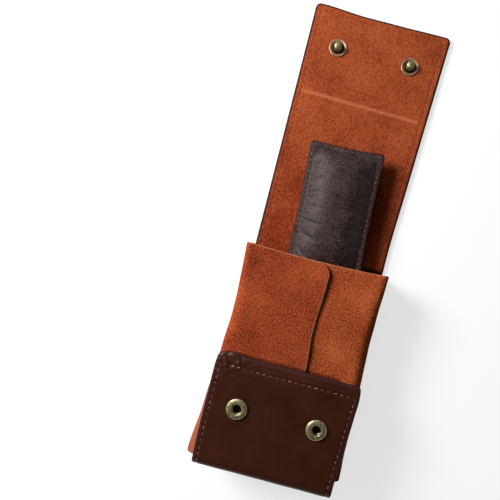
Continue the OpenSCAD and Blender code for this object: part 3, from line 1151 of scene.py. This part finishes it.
@dataclass
class Shell:
    """The strip's leather, lining, painted edge and seam, in four sections, each round one of its folds and
    bends.

    The seam's groove, the edge's crown, the dip round a snap, the lid's crease and the curled
    end of the flap with its lip are mounds or hollows, each with its height and width. The
    nap's and the leather's waves and the crumpled corner have a height, a length and a seed.
    The back is cut in two, the folds reach to both sides of their lines, and the painted edge
    turns in over the leather and over the lining, which lie a hair apart.
    """

    strip: Strip = STRIP
    groove: tuple[float, float] = (0.22, 0.6)
    crown: tuple[float, float] = (0.32, 1.3)
    press: tuple[float, float] = (0.2, 1.1)
    pressed_r: float = 5.2
    ridge: tuple[float, float] = (0.27, 1.0)
    curl: tuple[float, float] = (0.8, 1.8)
    lip: tuple[float, float] = (0.18, 0.6)
    lip_in: float = 3.0
    dent: float = 0.9
    soft: tuple[float, float, float] = (0.3, 20.0, 3.1)
    wave: tuple[float, float, float] = (0.16, 14.0, 5.7)
    crumple: tuple[float, float, float] = (1.1, 2.3, 8.8)
    crumple_at: tuple[float, float] = (9.0, 5.0)
    crumple_r: float = 4.5
    crumple_long: float = 2.2
    ramp: float = 6.0
    cut: float = -70.0
    fold_1_reach: tuple[float, float] = (-3.2, 4.2)
    fold_2_reach: tuple[float, float] = (-4.5, 4.5)
    turned_in: tuple[float, float] = (0.55, 1.2)
    apart: float = 0.02
    slack: float = 1.0

    def sections(self) -> list[Section]:
        """Cut the strip where it is flat.

        Returns:
            Its four sections.
        """
        s = self.strip
        spine = (s.fold_1 + s.fold_2) / 2
        wall = s.bend_y - s.arc - s.wall / 2
        low_z, high_z = s.thick / 2, s.height - s.thick / 2
        r = s.outer_r - s.thick / 2
        return [
            Section(
                "lid", ("lid_middle", "lid_end"), spine, s.end_y + self.slack, (Body.SPINE, Body.LID),
                *((s.fold_2 + reach, 0.0) for reach in self.fold_2_reach),
            ),
            Section(
                "top", ("back", "spine"), self.cut, spine, (Body.BACK, Body.SPINE),
                *((s.fold_1 + reach, 0.0) for reach in self.fold_1_reach),
            ),
            Section(
                "bottom", ("bottom",), wall, self.cut, (Body.BACK, Body.WALL),
                (s.bend_y, low_z), (s.bend_y - r, low_z + r),
            ),
            Section(
                "flap", ("flap",), s.last_run - self.slack, wall, (Body.WALL, Body.FLAP),
                (s.bend_y - r, high_z - r), (s.bend_y, high_z),
            ),
        ]

    def relief(self, layer: Layer, x: float, run: float) -> float:
        """How far a face dips below its nominal plane, in mm.

        Args:
            layer: Whose outer face is asked for.
            x: Place across the strip.
            run: Place along it.

        Returns:
            The depth, negative where the face stands up.
        """
        s = self.strip
        rim = s.rim(x, run)
        on_flap = ease(run, s.flap_run, s.flap_run - self.ramp)
        dip = mound(self.groove, s.to_seam(x, run)) + mound(self.crown, rim)
        snap = STUD_Y if run > 0 else s.socket_run
        away = math.hypot(abs(x) - SNAP_X, run - snap)
        dip += mound(self.press, max(away - self.pressed_r, 0.0))
        if layer is Layer.LINING:
            ridge = mound(self.ridge, run - CREASE + CREASE_SLOPE * x) * ease(rim, 2.5, 6)
            soft = ripple(self.soft, x, run) * ease(run, s.fold_1, s.fold_1 + 20)
            dent = self.dent
            for at, limits in ((run - s.fold_1, DENT_RUN), (x, DENT_X)):
                dent *= ease(at, *limits[0]) * ease(at, *limits[1])
            return dip + dent - ridge - soft * ease(rim, 1, 6)
        end = s.rims(x, run)[1]
        curl = (mound(self.curl, end) + mound(self.lip, end - self.lip_in)) * on_flap
        side_in, end_in = self.crumple_at
        away = math.hypot((x + s.half - side_in) / self.crumple_long, end - end_in)
        crumple = ripple(self.crumple, x, run * 1.4) * bell(away, self.crumple_r) * on_flap
        return dip + curl + crumple + ripple(self.wave, x, run) * ease(rim, 1, 8)

    def face(self, section: Section, layer: Layer) -> bpy.types.Object:
        """One layer of one section, as a sheet with its thickness.

        Args:
            section: The section.
            layer: Leather or lining.

        Returns:
            The new object.
        """
        s = self.strip
        skin = SKINS[layer]
        inset = skin.inset
        low = max(section.low, s.last_run + inset)
        high = min(section.high, s.end_y - inset)
        details = s.bends(0.4) + [
            (s.end_y, 7, 0.5), (s.last_run, 12, 0.5), (CREASE, 3, 0.3), (s.fold_1, 5, 0.5),
            (s.fold_2, 6, 0.9), (STUD_Y, 7, 0.8), (s.socket_run, 7, 0.7),
        ]
        runs = spread(low, high, 1.8, details)
        # The lining steps in between these two runs, to leave room for the wings' feet
        for at in (s.bend_y, s.mouth_y) if layer is Layer.LINING else ():
            if low < at < high:
                runs = sorted([r for r in runs if abs(r - at) > 0.2] + [at - 0.01, at])
        full = s.half - inset
        fine = [(-full, 6.5, 0.5), (full, 6.0, 0.5), (-SNAP_X, 7, 0.8), (SNAP_X, 7, 0.8)]
        shares = [x / full for x in spread(-full, full, 1.8, fine)]

        def spot(i: int, j: int) -> Spot:
            """A vertex at a share i of the width and a run j."""
            run = runs[j]
            radius = max(s.corner_at(run) - inset, 0.3)
            half = s.half_at(run) - inset - rounded_off(radius, s.rims(0.0, run)[1] - inset)
            if layer is Layer.LINING and s.bend_y <= run < s.mouth_y:
                half = s.foot_half
            x = shares[i] * half
            dip = self.relief(layer, x, run)
            depth = dip if layer is Layer.LEATHER else s.thick - dip
            return Spot(s.place(x, run, depth), Vector((x, run, depth)), s.rim(x, run))

        bm = grid(len(shares), len(runs), spot)
        if section.name == "flap":
            self.punch(bm, layer)
        for edge in bm.edges:
            edge.smooth = not edge.is_boundary
        if layer is Layer.LEATHER:
            bmesh.ops.reverse_faces(bm, faces=bm.faces)
        obj = piece(f"{layer.value}_{section.name}", bm, [skin.finish], skin.slot)
        thickness = s.leather if layer is Layer.LEATHER else s.lining
        thicken(obj, thickness - self.apart, -1, 0)
        section.bend(obj)
        return obj

    def punch(self, bm: bmesh.types.BMesh, layer: Layer) -> None:
        """Punch the flap's layer at the sockets.

        Args:
            bm: The layer's sheet.
            layer: Leather or lining.
        """
        s = self.strip
        radius = SKINS[layer].hole
        flat = bm.verts.layers.float_vector["flat"]
        for x in (-SNAP_X, SNAP_X):
            centre = Vector((x, s.socket_run))
            away = {v: (v[flat].xy / MM - centre) for v in bm.verts}
            ring = {
                o for v, d in away.items() if d.length < radius
                for e in v.link_edges for o in e.verts if away[o].length >= radius
            }
            inner = [v for v, d in away.items() if d.length < radius]
            for vert in ring:
                spot = centre + away[vert].normalized() * radius
                depth = vert[flat].z / MM
                vert[flat] = Vector((spot.x, spot.y, depth)) * MM
                vert.co = s.place(spot.x, spot.y, depth) * MM
            bmesh.ops.delete(bm, geom=inner, context="VERTS")

    def edge(self, section: Section) -> None:
        """Paint the edge of one section, which rounds over both layers.

        Args:
            section: The section.
        """
        s = self.strip

        def profile(x: float, run: float) -> list[tuple[float, float]]:
            """Round over both layers, or over the leather alone inside the sleeve."""
            inside = s.bend_y <= run <= s.mouth_y
            deep = s.leather if inside else s.thick
            curl = ease(run, s.flap_run, s.flap_run - self.ramp) * mound(self.curl, s.rims(x, run)[1])
            top, low = self.crown[0] * 0.86 + curl - 0.06, deep - 0.1
            middle, rise = (top + low) / 2, (low - top) / 2
            rounded = []
            for a in range(-90, 91, 20):
                turn = math.radians(a)
                reach = self.turned_in[0 if a < 0 else 1]
                rounded.append((reach * (math.cos(turn) - 1), middle + rise * math.sin(turn)))
            return rounded + [(-1.5, low - 0.35), (-0.8, top + 0.35)]

        for line, end in zip(s.outline(section.low, section.high, 0.0), ("", "_left")):
            name = f"edge_{section.name}{end}"
            section.bend(swept(name, line, profile, s.place, EDGE_PAINT, "strip_leather"))

    def seam(self, section: Section, layer: Layer) -> None:
        """Sew the perimeter seam's stitches on one face of a section.

        Args:
            section: The section.
            layer: Whose outer face the stitches lie on.
        """
        s = self.strip
        low, high = section.low, section.high
        if layer is Layer.LINING and section.name in ("top", "bottom"):
            # Inside the sleeve the seam lies under the wings' feet
            low, high = (s.mouth_y + 2.5, high) if section.name == "top" else (low, s.bend_y - 0.5)
        lines = s.seam_lines(low, high)

        def place(x: float, run: float, depth: float) -> Vector:
            """Follow the layer's own face."""
            dip = self.relief(layer, x, run) + depth
            return s.place(x, run, dip if layer is Layer.LEATHER else s.thick - dip)

        name = f"seam_{layer.value}_{section.name}"
        section.bend(Thread().sew(name, lines, place, SKINS[layer].thread, "strip_leather"))

    def build(self) -> None:
        """Build every section and let it stand for its CAD solids."""
        for section in self.sections():
            for layer in Layer:
                obj = self.face(section, layer)
                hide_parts(*(f"{panel}_{layer.value}" for panel in section.panels))
                self.seam(section, layer)
            self.edge(section)


# The wings


@dataclass
class Wing:
    """A suede wing of the sleeve, sewn to the back at its foot and folded over the front.

    It is a sheet that follows a section line from its foot, round the side and over the
    front to its free edge, drawn at each depth below the mouth.
    """

    name: str
    side: Side
    front_z: float
    finish: Finish
    lean: Sequence[tuple[float, float]]
    foot: Sequence[tuple[float, float]]
    edge: Sequence[tuple[float, float]]
    mouth: Sequence[tuple[float, float]]
    corner: float
    lift: float
    thick: float = 1.3
    length: float = 115.0
    foot_x: float = 32.5
    side_x: float = 37.85
    foot_r: float = 1.6
    bow: float = 0.6
    under_flap: tuple[float, float] = (48.0, 58.0)
    droop: tuple[float, float] = (0.6, 16.0)
    billow: float = 0.4
    side_wave: float = 0.35
    fold_r: tuple[float, float] = (2.0, 5.5)
    fold_open: float = 35.0

    def section(self, deep: float) -> list[Vector]:
        """Points of the middle line at a depth below the mouth, for the right side.

        Args:
            deep: Distance below the mouth.

        Returns:
            Points (x, z) from the foot to the free edge, as many at every depth.
        """
        foot_z = STRIP.leather + self.thick / 2
        lean = through(self.lean, deep)
        tight, open_r = self.fold_r
        top_r = tight + (open_r - tight) * ease(deep, 0, self.fold_open)
        low, high = foot_z + self.foot_r, self.front_z - top_r
        low_x, top_x = self.side_x + through(self.foot, deep), self.side_x + lean
        turn_x = low_x - self.foot_r
        line = [Vector((self.foot_x + (turn_x - self.foot_x) * k / 3, foot_z)) for k in range(3)]
        for k in range(6):
            a = math.radians(-90 + 18 * k)
            line.append(Vector((turn_x, low)) + self.foot_r * Vector((math.cos(a), math.sin(a))))
        for k in range(14):
            t = k / 14
            x = low_x + (top_x - low_x) * t + self.bow * math.sin(math.pi * t)
            line.append(Vector((x, low + (high - low) * t)))
        for k in range(10):
            a = math.radians(9 * k)
            line.append(Vector((top_x - top_r, high)) + top_r * Vector((math.cos(a), math.sin(a))))
        # The front reaches to the free edge, with a round corner at the mouth
        edge_x = through(self.edge, deep) + rounded_off(self.corner, deep)
        first = top_x - top_r
        for share in self.shares():
            line.append(Vector((first + (edge_x - first) * share, self.front_z)))
        return line

    @staticmethod
    def shares() -> list[float]:
        """Shares of the front's width at its columns, closer together at the free edge."""
        return spread(0, 1, 0.028, [(1, 0.12, 0.012)])

    def shape(self, x: float, z: float, share: float, deep: float) -> Vector:
        """The soft form on top of the section: a lifted edge, waves and a slack mouth.

        Args:
            x: Place across, for the right side.
            z: Height of the middle line.
            share: Share of the front that is passed, 0 at the side and 1 at the edge.
            deep: Distance below the mouth.

        Returns:
            The place in the frame, in mm.
        """
        seed = 2.0 + self.side.value
        front = ease(share, 0.0, 0.1)
        up = self.lift * ease(share, 0.86, 1.0) * (0.55 + 0.45 * bell(deep - 22, 22))
        up -= mound(self.droop, deep) * front * (1 - ease(share, 0.75, 1.0))
        up += front * ripple((self.billow, 16, seed), x, deep)
        # The flap holds the wings flat
        up *= 1 - ease(deep, *self.under_flap)
        out = (1 - front) * ease(z, 4, 12) * ripple((self.side_wave, 15, seed + 9), z * 0.6, deep)
        y = STRIP.mouth_y - deep
        y += through(self.mouth, x) * (1 - ease(deep, 0, 30)) * ease(z, 6, 24)
        return Vector((self.side.value * (x + out), y, z + up))

    def build(self) -> None:
        """Build the wing as a sheet that stands for its CAD solid."""
        near = [(0.0, 8.0, 0.6), (self.length, 6.0, 0.8)]
        deeps = spread(0.0, self.length, 1.5, near)
        sections = [self.section(d) for d in deeps]
        columns = len(sections[0])
        first = columns - len(self.shares())
        walked = [
            list(accumulate(((b - a).length for a, b in zip(line, line[1:])), initial=0.0))
            for line in sections
        ]

        def spot(i: int, j: int) -> Spot:
            """Vertex i of the section at depth j."""
            p, deep = sections[j][i], deeps[j]
            front = sections[j][first:]
            share = 0.0 if i < first else (front[0].x - p.x) / (front[0].x - front[-1].x)
            rim = min(walked[j][-1] - walked[j][i], deep, self.length - deep)
            at = self.shape(p.x, p.y, share, deep)
            return Spot(at, Vector((walked[j][i], deep, 40.0 * self.side.value)), rim)

        bm = grid(columns, len(deeps), spot)
        if self.side is Side.LEFT:
            bmesh.ops.reverse_faces(bm, faces=bm.faces)
        obj = piece(f"wing_{self.name}", bm, [self.finish, RAW_EDGE], f"{self.name}_wing_suede")
        area = sum(f.area for f in obj.data.polygons)
        thicken(obj, self.thick, 0, 0.3)
        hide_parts(f"{self.name}_wing")
        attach(obj, Body.BACK.value)
        width = max(run[-1] for run in walked) * MM
        length = self.length * MM
        area = min(area, width * length)


# The cushion


# Settings of the cloth simulation that stuffs the cushion
STUFFING = {
    "quality": 6, "mass": 0.3, "tension_stiffness": 12, "compression_stiffness": 12,
    "shear_stiffness": 4, "bending_stiffness": 0.6, "shrink_min": -0.03, "use_pressure": True,
    "uniform_pressure_force": 4.0, "vertex_group_mass": "sewn", "pin_stiffness": 2.0,
}


@dataclass
class Cushion:
    """The stuffed pad that carries the watch: two pebbled faces sewn together all round."""

    width: float = 42.6
    length: float = 75.4
    thick: float = 16.5
    border: float = 4.0
    boxy: float = 2.6
    full: float = 0.6
    skin: float = 1.1
    draw: float = 0.8
    corner: float = 2.2
    seam_in: float = 1.9
    centre: tuple[float, float, float] = (1.17, 16.0, 11.25)
    turn: float = 2.9
    table: float = 3.0
    scale: float = 10.0
    frames: int = 20
    furthest: float = 2.2
    voxel: float = 0.75
    crown_soft: float = 2.0
    swelling: float = 1.6
    edge: tuple[float, float] = (0.3, 1.12)
    edge_in: float = 0.8

    def place(self, x: float, y: float, z: float) -> Vector:
        """Where a place of the cushion lies in the frame, in mm."""
        turned = Matrix.Rotation(math.radians(self.turn), 3, "Z") @ Vector((x, y, z))
        return turned + Vector(self.centre)

    def squeeze(self, x: float, y: float) -> tuple[float, float]:
        """Draw the sides in at their middle, as the stuffing does.

        Args:
            x: Place across the pad.
            y: Place along it.

        Returns:
            Both, drawn in.
        """
        u, v = 2 * x / self.width, 2 * y / self.length
        return (
            x - u * self.draw * math.cos(math.pi / 2 * min(abs(v), 1)),
            y - v * self.draw * math.cos(math.pi / 2 * min(abs(u), 1)),
        )

    def outline(self, inset: float) -> Line:
        """Draw the border's edge with its round corners.

        Args:
            inset: How far the line lies inside the edge.

        Returns:
            A closed line.
        """
        half_x, half_y = self.width / 2 - inset, self.length / 2 - inset
        r = max(self.corner - inset, 0.5)
        points = []
        for sx, sy, first in ((1, -1, -90), (1, 1, 0), (-1, 1, 90), (-1, -1, 180)):
            for a in range(first, first + 91, 15):
                turn = math.radians(a)
                points.append(Vector((
                    sx * (half_x - r) + r * math.cos(turn), sy * (half_y - r) + r * math.sin(turn),
                )))
        filled = []
        for a, b in zip(points, points[1:] + points[:1]):
            count = max(int((b - a).length / 1.0), 1)
            filled += [a.lerp(b, k / count) for k in range(count)]
        return Line([Vector(self.squeeze(p.x, p.y)) for p in filled], closed=True)

    def swell(self, x: float, y: float) -> float:
        """Shape the stuffed face.

        Args:
            x: Place across the pad.
            y: Place along it.

        Returns:
            Its height, 0 at the border's seam and 1 at the crown.
        """
        def one(value: float, half: float) -> float:
            """The height's share along one axis."""
            t = min(abs(value) / (half - self.border), 1.0)
            return (1 - t**self.boxy) ** self.full
        return one(x, self.width / 2) * one(y, self.length / 2)

    def cover(self) -> bmesh.types.BMesh:
        """Make the cover before it is stuffed.

        Returns:
            Its closed mesh with a flat border, in metres.
        """
        xs = spread(-self.width / 2, self.width / 2, 1.2)
        ys = spread(-self.length / 2, self.length / 2, 1.2)
        crown = self.thick / 2 - self.swelling

        def spot(i: int, j: int) -> Spot:
            """A vertex of the upper face."""
            x, y = xs[i], ys[j]
            half = self.width / 2
            x *= (half - rounded_off(self.corner, self.length / 2 - abs(y))) / half
            up = self.skin + (crown - self.skin) * self.swell(x, y)
            bx, by = self.squeeze(x, y)
            return Spot(Vector((bx, by, up)), Vector((bx, by, 0)))

        bm = grid(len(xs), len(ys), spot)
        under = bmesh.ops.duplicate(bm, geom=bm.verts[:] + bm.edges[:] + bm.faces[:])["geom"]
        bmesh.ops.scale(bm, vec=(1, 1, -1), verts=[g for g in under if isinstance(g, bmesh.types.BMVert)])
        bmesh.ops.bridge_loops(bm, edges=[e for e in bm.edges if e.is_boundary])
        bmesh.ops.recalc_face_normals(bm, faces=bm.faces)
        return bm

    def stuff(self, obj: bpy.types.Object) -> None:
        """Stuff the cover: a short cloth simulation swells it while its border is held.

        The cover is simulated at ten times its size, where Blender's cloth works well, and
        a little larger than its seam, so that it puckers along the border.

        Args:
            obj: The cover, about the origin, in metres.
        """
        scene = bpy.context.scene
        obj.data.transform(Matrix.Scale(self.scale, 4))
        put(obj.modifiers.new("weave", "REMESH"), mode="VOXEL", voxel_size=self.voxel * self.scale * MM)
        self._apply(obj)
        held = obj.vertex_groups.new(name="sewn")
        before = [v.co.copy() for v in obj.data.vertices]
        size = self.scale * MM
        for vert in obj.data.vertices:
            x, y = vert.co.x / size, vert.co.y / size
            rim = min(self.width / 2 - abs(x), self.length / 2 - abs(y))
            held.add([vert.index], 1.0 - ease(rim, self.border - 0.3, self.border + 0.5), "REPLACE")
        cloth = obj.modifiers.new("stuffing", "CLOTH")
        put(cloth.settings, **STUFFING).effector_weights.gravity = 0
        cloth.collision_settings.use_collision = False
        put(cloth.point_cache, frame_start=1, frame_end=self.frames)
        for frame in range(1, self.frames + 1):
            scene.frame_set(frame)
        self._apply(obj)
        scene.frame_set(1)
        cap = self.furthest * size
        for vert, old in zip(obj.data.vertices, before):
            moved = vert.co - old
            if moved.length > cap:
                vert.co = old + moved.normalized() * cap
        obj.data.transform(Matrix.Scale(1 / self.scale, 4))

    @staticmethod
    def _apply(obj: bpy.types.Object) -> None:
        """Put what the modifiers show into the mesh and drop them.

        Args:
            obj: The object.
        """
        graph = bpy.context.evaluated_depsgraph_get()
        mesh = bpy.data.meshes.new_from_object(obj.evaluated_get(graph))
        materials = list(obj.data.materials)
        obj.modifiers.clear()
        obj.data = mesh
        obj.data.materials.clear()
        for material in materials:
            obj.data.materials.append(material)

    def settle(self, obj: bpy.types.Object) -> None:
        """Move the cover to its place and flatten it where it lies on the lining.

        Args:
            obj: The cover, about the origin.
        """
        soft = self.crown_soft
        begin = self.thick / 2 - soft
        for vert in obj.data.vertices:
            at = vert.co / MM
            if abs(at.z) > begin:
                # Keep the crown within the pad's thickness, softly
                at.z = math.copysign(begin + soft * math.tanh((abs(at.z) - begin) / soft), at.z)
            spot = self.place(at.x, at.y, at.z)
            spot.z = max(spot.z, self.table)
            vert.co = spot * MM
        for polygon in obj.data.polygons:
            polygon.use_smooth = True

    def build(self) -> None:
        """Build the cushion, its painted border and its seam."""
        pad = piece("cushion_pad", self.cover(), [PEBBLED], "cushion_leather")
        self.stuff(pad)
        self.settle(pad)
        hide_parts("cushion_front", "cushion_back", "cushion_core")

        def profile(_x: float, _y: float) -> list[tuple[float, float]]:
            """Round over both faces, the same all the way."""
            out, up = self.edge
            arc = [math.radians(a) for a in range(-90, 91, 30)]
            rounded = [(out * (math.cos(a) - 1), up * math.sin(a)) for a in arc]
            return rounded + [(-self.edge_in, self.edge_in), (-self.edge_in, -self.edge_in)]

        edge = swept("cushion_edge", self.outline(0.0), profile, self.place, EDGE_PAINT, "cushion_leather")
        for obj in (pad, edge, self.seam("front", 1), self.seam("back", -1)):
            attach(obj, Body.CUSHION.value)

    def seam(self, name: str, sign: int) -> bpy.types.Object:
        """Sew the seam round the border on one face.

        Args:
            name: Which face it is.
            sign: 1 for the front and -1 for the back.

        Returns:
            The stitches.
        """
        def place(x: float, y: float, depth: float) -> Vector:
            """Follow the border's face."""
            return self.place(x, y, sign * (self.skin - depth))

        thread = Thread(pitch=3.1, length=2.1, width=0.55)
        lines = [self.outline(self.seam_in)]
        return thread.sew(f"cushion_seam_{name}", lines, place, PALE_THREAD, "cushion_leather")


# The snaps


@dataclass
class Snaps:
    """The two ring-spring snaps: studs on the lid and sockets on the flap."""

    stud_z: float = 2.7
    socket_z: float = 33.0
    turns: int = 56

    def stud_profile(self) -> list[tuple[float, float]]:
        """Draw a stud: rolled flange, dished ring, cone, neck and ball head.

        Returns:
            Radii and heights above its face, all round the profile.
        """
        rim = [(1.25, -0.15), (5.0, -0.15), (5.2, 0.0), (5.22, 0.2), (5.08, 0.42), (4.8, 0.5)]
        dish = [(4.5, 0.44), (4.1, 0.3), (3.7, 0.22), (3.3, 0.22), (3.0, 0.32), (2.75, 0.55)]
        cone = [(2.5, 0.9), (2.2, 1.3), (1.95, 1.6), (1.9, 2.0), (1.9, 2.6)]
        head = [
            (2.4 * math.cos(a), 2.5 + 1.82 * (0.35 + 0.65 * math.sin(a)))
            for a in (math.radians(d) for d in range(-20, 91, 10))
        ]
        return rim + dish + cone + head[:-1] + [(0.0, 4.32), (0.0, 1.8), (1.25, 1.8)]

    def socket_profile(self) -> list[tuple[float, float]]:
        """Draw a socket: a flat domed cap with a rolled mouth over the room of its spring.

        Returns:
            Radii and heights above its face, all round the profile.
        """
        cap = [
            (3.65, -0.15), (5.5, -0.15), (5.7, 0.1), (5.7, 0.6), (5.6, 1.0), (5.35, 1.34), (5.0, 1.58),
            (4.6, 1.72), (4.1, 1.8), (3.6, 1.84), (3.2, 1.84), (2.95, 1.78), (2.76, 1.64), (2.65, 1.44),
        ]
        return cap + [(2.6, 1.2), (2.6, 0.84), (3.65, 0.84)]

    def spin(
        self, name: str, profile: Sequence[tuple[float, float]], y: float, z: float, finish: Finish
    ) -> bpy.types.Object:
        """Spin a closed profile into the pair of parts at the two snaps.

        Args:
            name: Name of the piece.
            profile: Radii and heights.
            y: Place of both parts along the case.
            z: Height of the face that they stand on.
            finish: Their finish.

        Returns:
            The new object.
        """
        bm = bmesh.new()
        for x in (-SNAP_X, SNAP_X):
            verts = [bm.verts.new(Vector((x + r, y, z + h)) * MM) for r, h in profile]
            edges = [bm.edges.new(pair) for pair in zip(verts, verts[1:] + verts[:1])]
            bmesh.ops.spin(
                bm, geom=verts + edges, cent=Vector((x, y, z)) * MM, axis=(0, 0, 1),
                angle=math.tau, steps=self.turns, use_merge=True,
            )
        bmesh.ops.remove_doubles(bm, verts=bm.verts, dist=2e-6)
        bmesh.ops.dissolve_degenerate(bm, edges=bm.edges, dist=1e-6)
        bmesh.ops.recalc_face_normals(bm, faces=bm.faces)
        return piece(name, bm, [finish], "antique_brass")

    def build(self, nodes: dict[str, bpy.types.Object]) -> None:
        """Build the studs and sockets, and finish the CAD posts and springs.

        Args:
            nodes: The frame's CAD nodes by name.
        """
        # The stud's pinkish rim colour is a painted reflection of the suede round it
        stud = AntiqueBrass(
            "stud_brass", bright="a49468", rim="c79a7c", rough=0.5, centre_y=STUD_Y,
            ring=(1.7, 2.7, 3.4, 4.1), foot=4.95,
        )
        socket = AntiqueBrass(
            "socket_brass", rim="b4a67c", centre_y=SOCKET_Y, ring=(0.0, 0.1, 2.5, 2.62), foot=5.3,
        )
        steel = AntiqueBrass(
            "spring_bronze", bright="aaa292", rim="aaa292", rough=0.3, centre_y=SOCKET_Y,
            ring=(8, 9, 9, 10), foot=12,
        )
        studs = self.spin("stud_pair", self.stud_profile(), STUD_Y, self.stud_z, stud)
        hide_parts("snap_studs")
        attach(studs, Body.LID.value)
        caps = self.spin("socket_pair", self.socket_profile(), SOCKET_Y, self.socket_z, socket)
        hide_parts("snap_sockets")
        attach(caps, Body.FLAP.value)
        for name, finish in {"stud_posts": stud, "socket_posts": socket, "socket_springs": steel}.items():
            for slot in nodes[name].material_slots:
                slot.material = finish.material()
            LOG.info("%s: finished", name)


# The studio


@dataclass
class Studio:
    """Table, soft light from the upper left, and the camera of the photograph."""

    camera_at: tuple[float, float, float] = (6.6, -14.71, 321.74)
    camera_turn: float = 14.9
    focal_px: float = 553.9
    middle_px: tuple[float, float] = (329.75, 268.47)
    frame_px: float = 500.0
    sensor: float = 36.0
    world_low: float = 0.02
    world_high: float = 0.3
    dusk: float = -0.1
    backdrop: tuple[float, float] = (0.45, 0.25)
    table_r: float = 6000.0
    table_z: float = -0.05
    key_power: float = 4.6
    key_from: tuple[float, float, float] = (-420.0, 150.0, 350.0)
    key_size: float = 250.0

    def table(self) -> None:
        """A round white tabletop just under the case."""
        bm = bmesh.new()
        bmesh.ops.create_circle(bm, cap_ends=True, segments=96, radius=self.table_r * MM)
        bmesh.ops.translate(bm, verts=bm.verts, vec=(0, 0, self.table_z * MM))
        piece("tabletop", bm, [Tabletop("white_laminate")])

    def lights(self) -> None:
        """A large soft lamp at the upper left and a room that is pale on that side."""
        lamp = put(
            bpy.data.lights.new("key", "AREA"), shape="DISK", size=self.key_size * MM, energy=self.key_power,
        )
        obj = put(stand("key", lamp), location=Vector(self.key_from) * MM)
        obj.rotation_euler = (-obj.location).to_track_quat("-Z", "Y").to_euler()
        world = bpy.context.scene.world = bpy.data.worlds.new("surround")
        world.use_nodes = True
        world.node_tree.nodes.clear()
        add = partial(add_node, world.node_tree)
        # The room is bright on the lamp's side and dark on the other
        towards = add("TexCoord")["Generated"]
        directions = {0: towards, 1: Vector(self.key_from).normalized()}
        facing = add("VectorMath", directions, operation="DOT_PRODUCT")["Value"]
        room = add("MapRange", {
            "Value": facing, "From Min": self.dusk, "To Min": self.world_low, "To Max": self.world_high,
        }, **SMOOTH)["Result"]
        # Low down it is a white backdrop where it is seen or mirrored
        height = add("SeparateXYZ", {0: towards})["Z"]
        white = between(add, [(height, *self.backdrop)], seen_share(add))
        level = add("MapRange", {"Value": white, "To Min": room, "To Max": 1.0})["Result"]
        add("OutputWorld", {"Surface": add("Background", {"Color": "ffffff", "Strength": level})[0]})

    def camera(self) -> None:
        """The camera, looking straight down, with the photograph's framing."""
        half = self.frame_px / 2
        data = put(
            bpy.data.cameras.new("camera"), sensor_width=self.sensor,
            lens=self.focal_px / self.frame_px * self.sensor,
            shift_x=(half - self.middle_px[0]) / self.frame_px,
            shift_y=(self.middle_px[1] - half) / self.frame_px, clip_start=0.01, clip_end=20.0,
        )
        bpy.context.scene.camera = put(
            stand("camera", data), location=Vector(self.camera_at) * MM,
            rotation_euler=(0.0, 0.0, math.radians(self.camera_turn)),
        )

    def build(self) -> None:
        """Set up the studio."""
        self.table()
        self.lights()
        self.camera()
        bpy.context.scene.view_settings.view_transform = "Standard"


def wings() -> list[Wing]:
    """Shape the two wings as they lie in the photograph.

    Returns:
        The upper one, hung on the left, and the lower one on the right.
    """
    lean_left = [
        (0, 1.0), (8, 0.5), (15, 0.1), (28, -0.4), (41, -0.45), (55, 0.15), (72, 0.8), (90, 1.9),
        (105, 3.2), (116, 3.8),
    ]
    lean_right = [
        (0, -0.1), (7, -0.3), (20, -0.55), (33, -0.45), (47, -0.15), (60, 0.45), (72, 1.0), (90, 1.3),
        (106, 2.0), (112, 2.2),
    ]
    edge_left = [
        (0, -7.5), (15, -7.5), (24, -7.1), (32, -6.8), (41, -6.85), (52, -8.0), (58, -8.3), (116, -8.3),
    ]
    return [
        Wing(
            "left", Side.LEFT, 29.35, LEFT_SUEDE, lean_left, [(0, 0.0), (116, 0.0)], edge_left,
            [(-8, -0.6), (10, -0.8), (26, -0.5), (39, -0.3)], corner=7.0, lift=0.12, length=116.0,
        ),
        Wing(
            "right", Side.RIGHT, 27.75, RIGHT_SUEDE, lean_right, [(0, -1.5), (30, -1.0), (112, 0.0)],
            [(0, -22.0), (112, -22.0)],
            [(-22, -0.6), (2, -0.6), (17, -0.15), (28, 0.3), (38, 1.0)], corner=0.0, lift=0.0, length=112.0,
        ),
    ]


def main() -> None:
    """Load the frame, build every piece and set up the studio."""
    logging.basicConfig(level=logging.INFO, format="%(name)s %(message)s")
    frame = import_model()
    Shell().build()
    for wing in wings():
        wing.build()
    Cushion().build()
    Snaps().build(frame["nodes"])
    Studio().build()


if __name__ == "__main__":
    main()
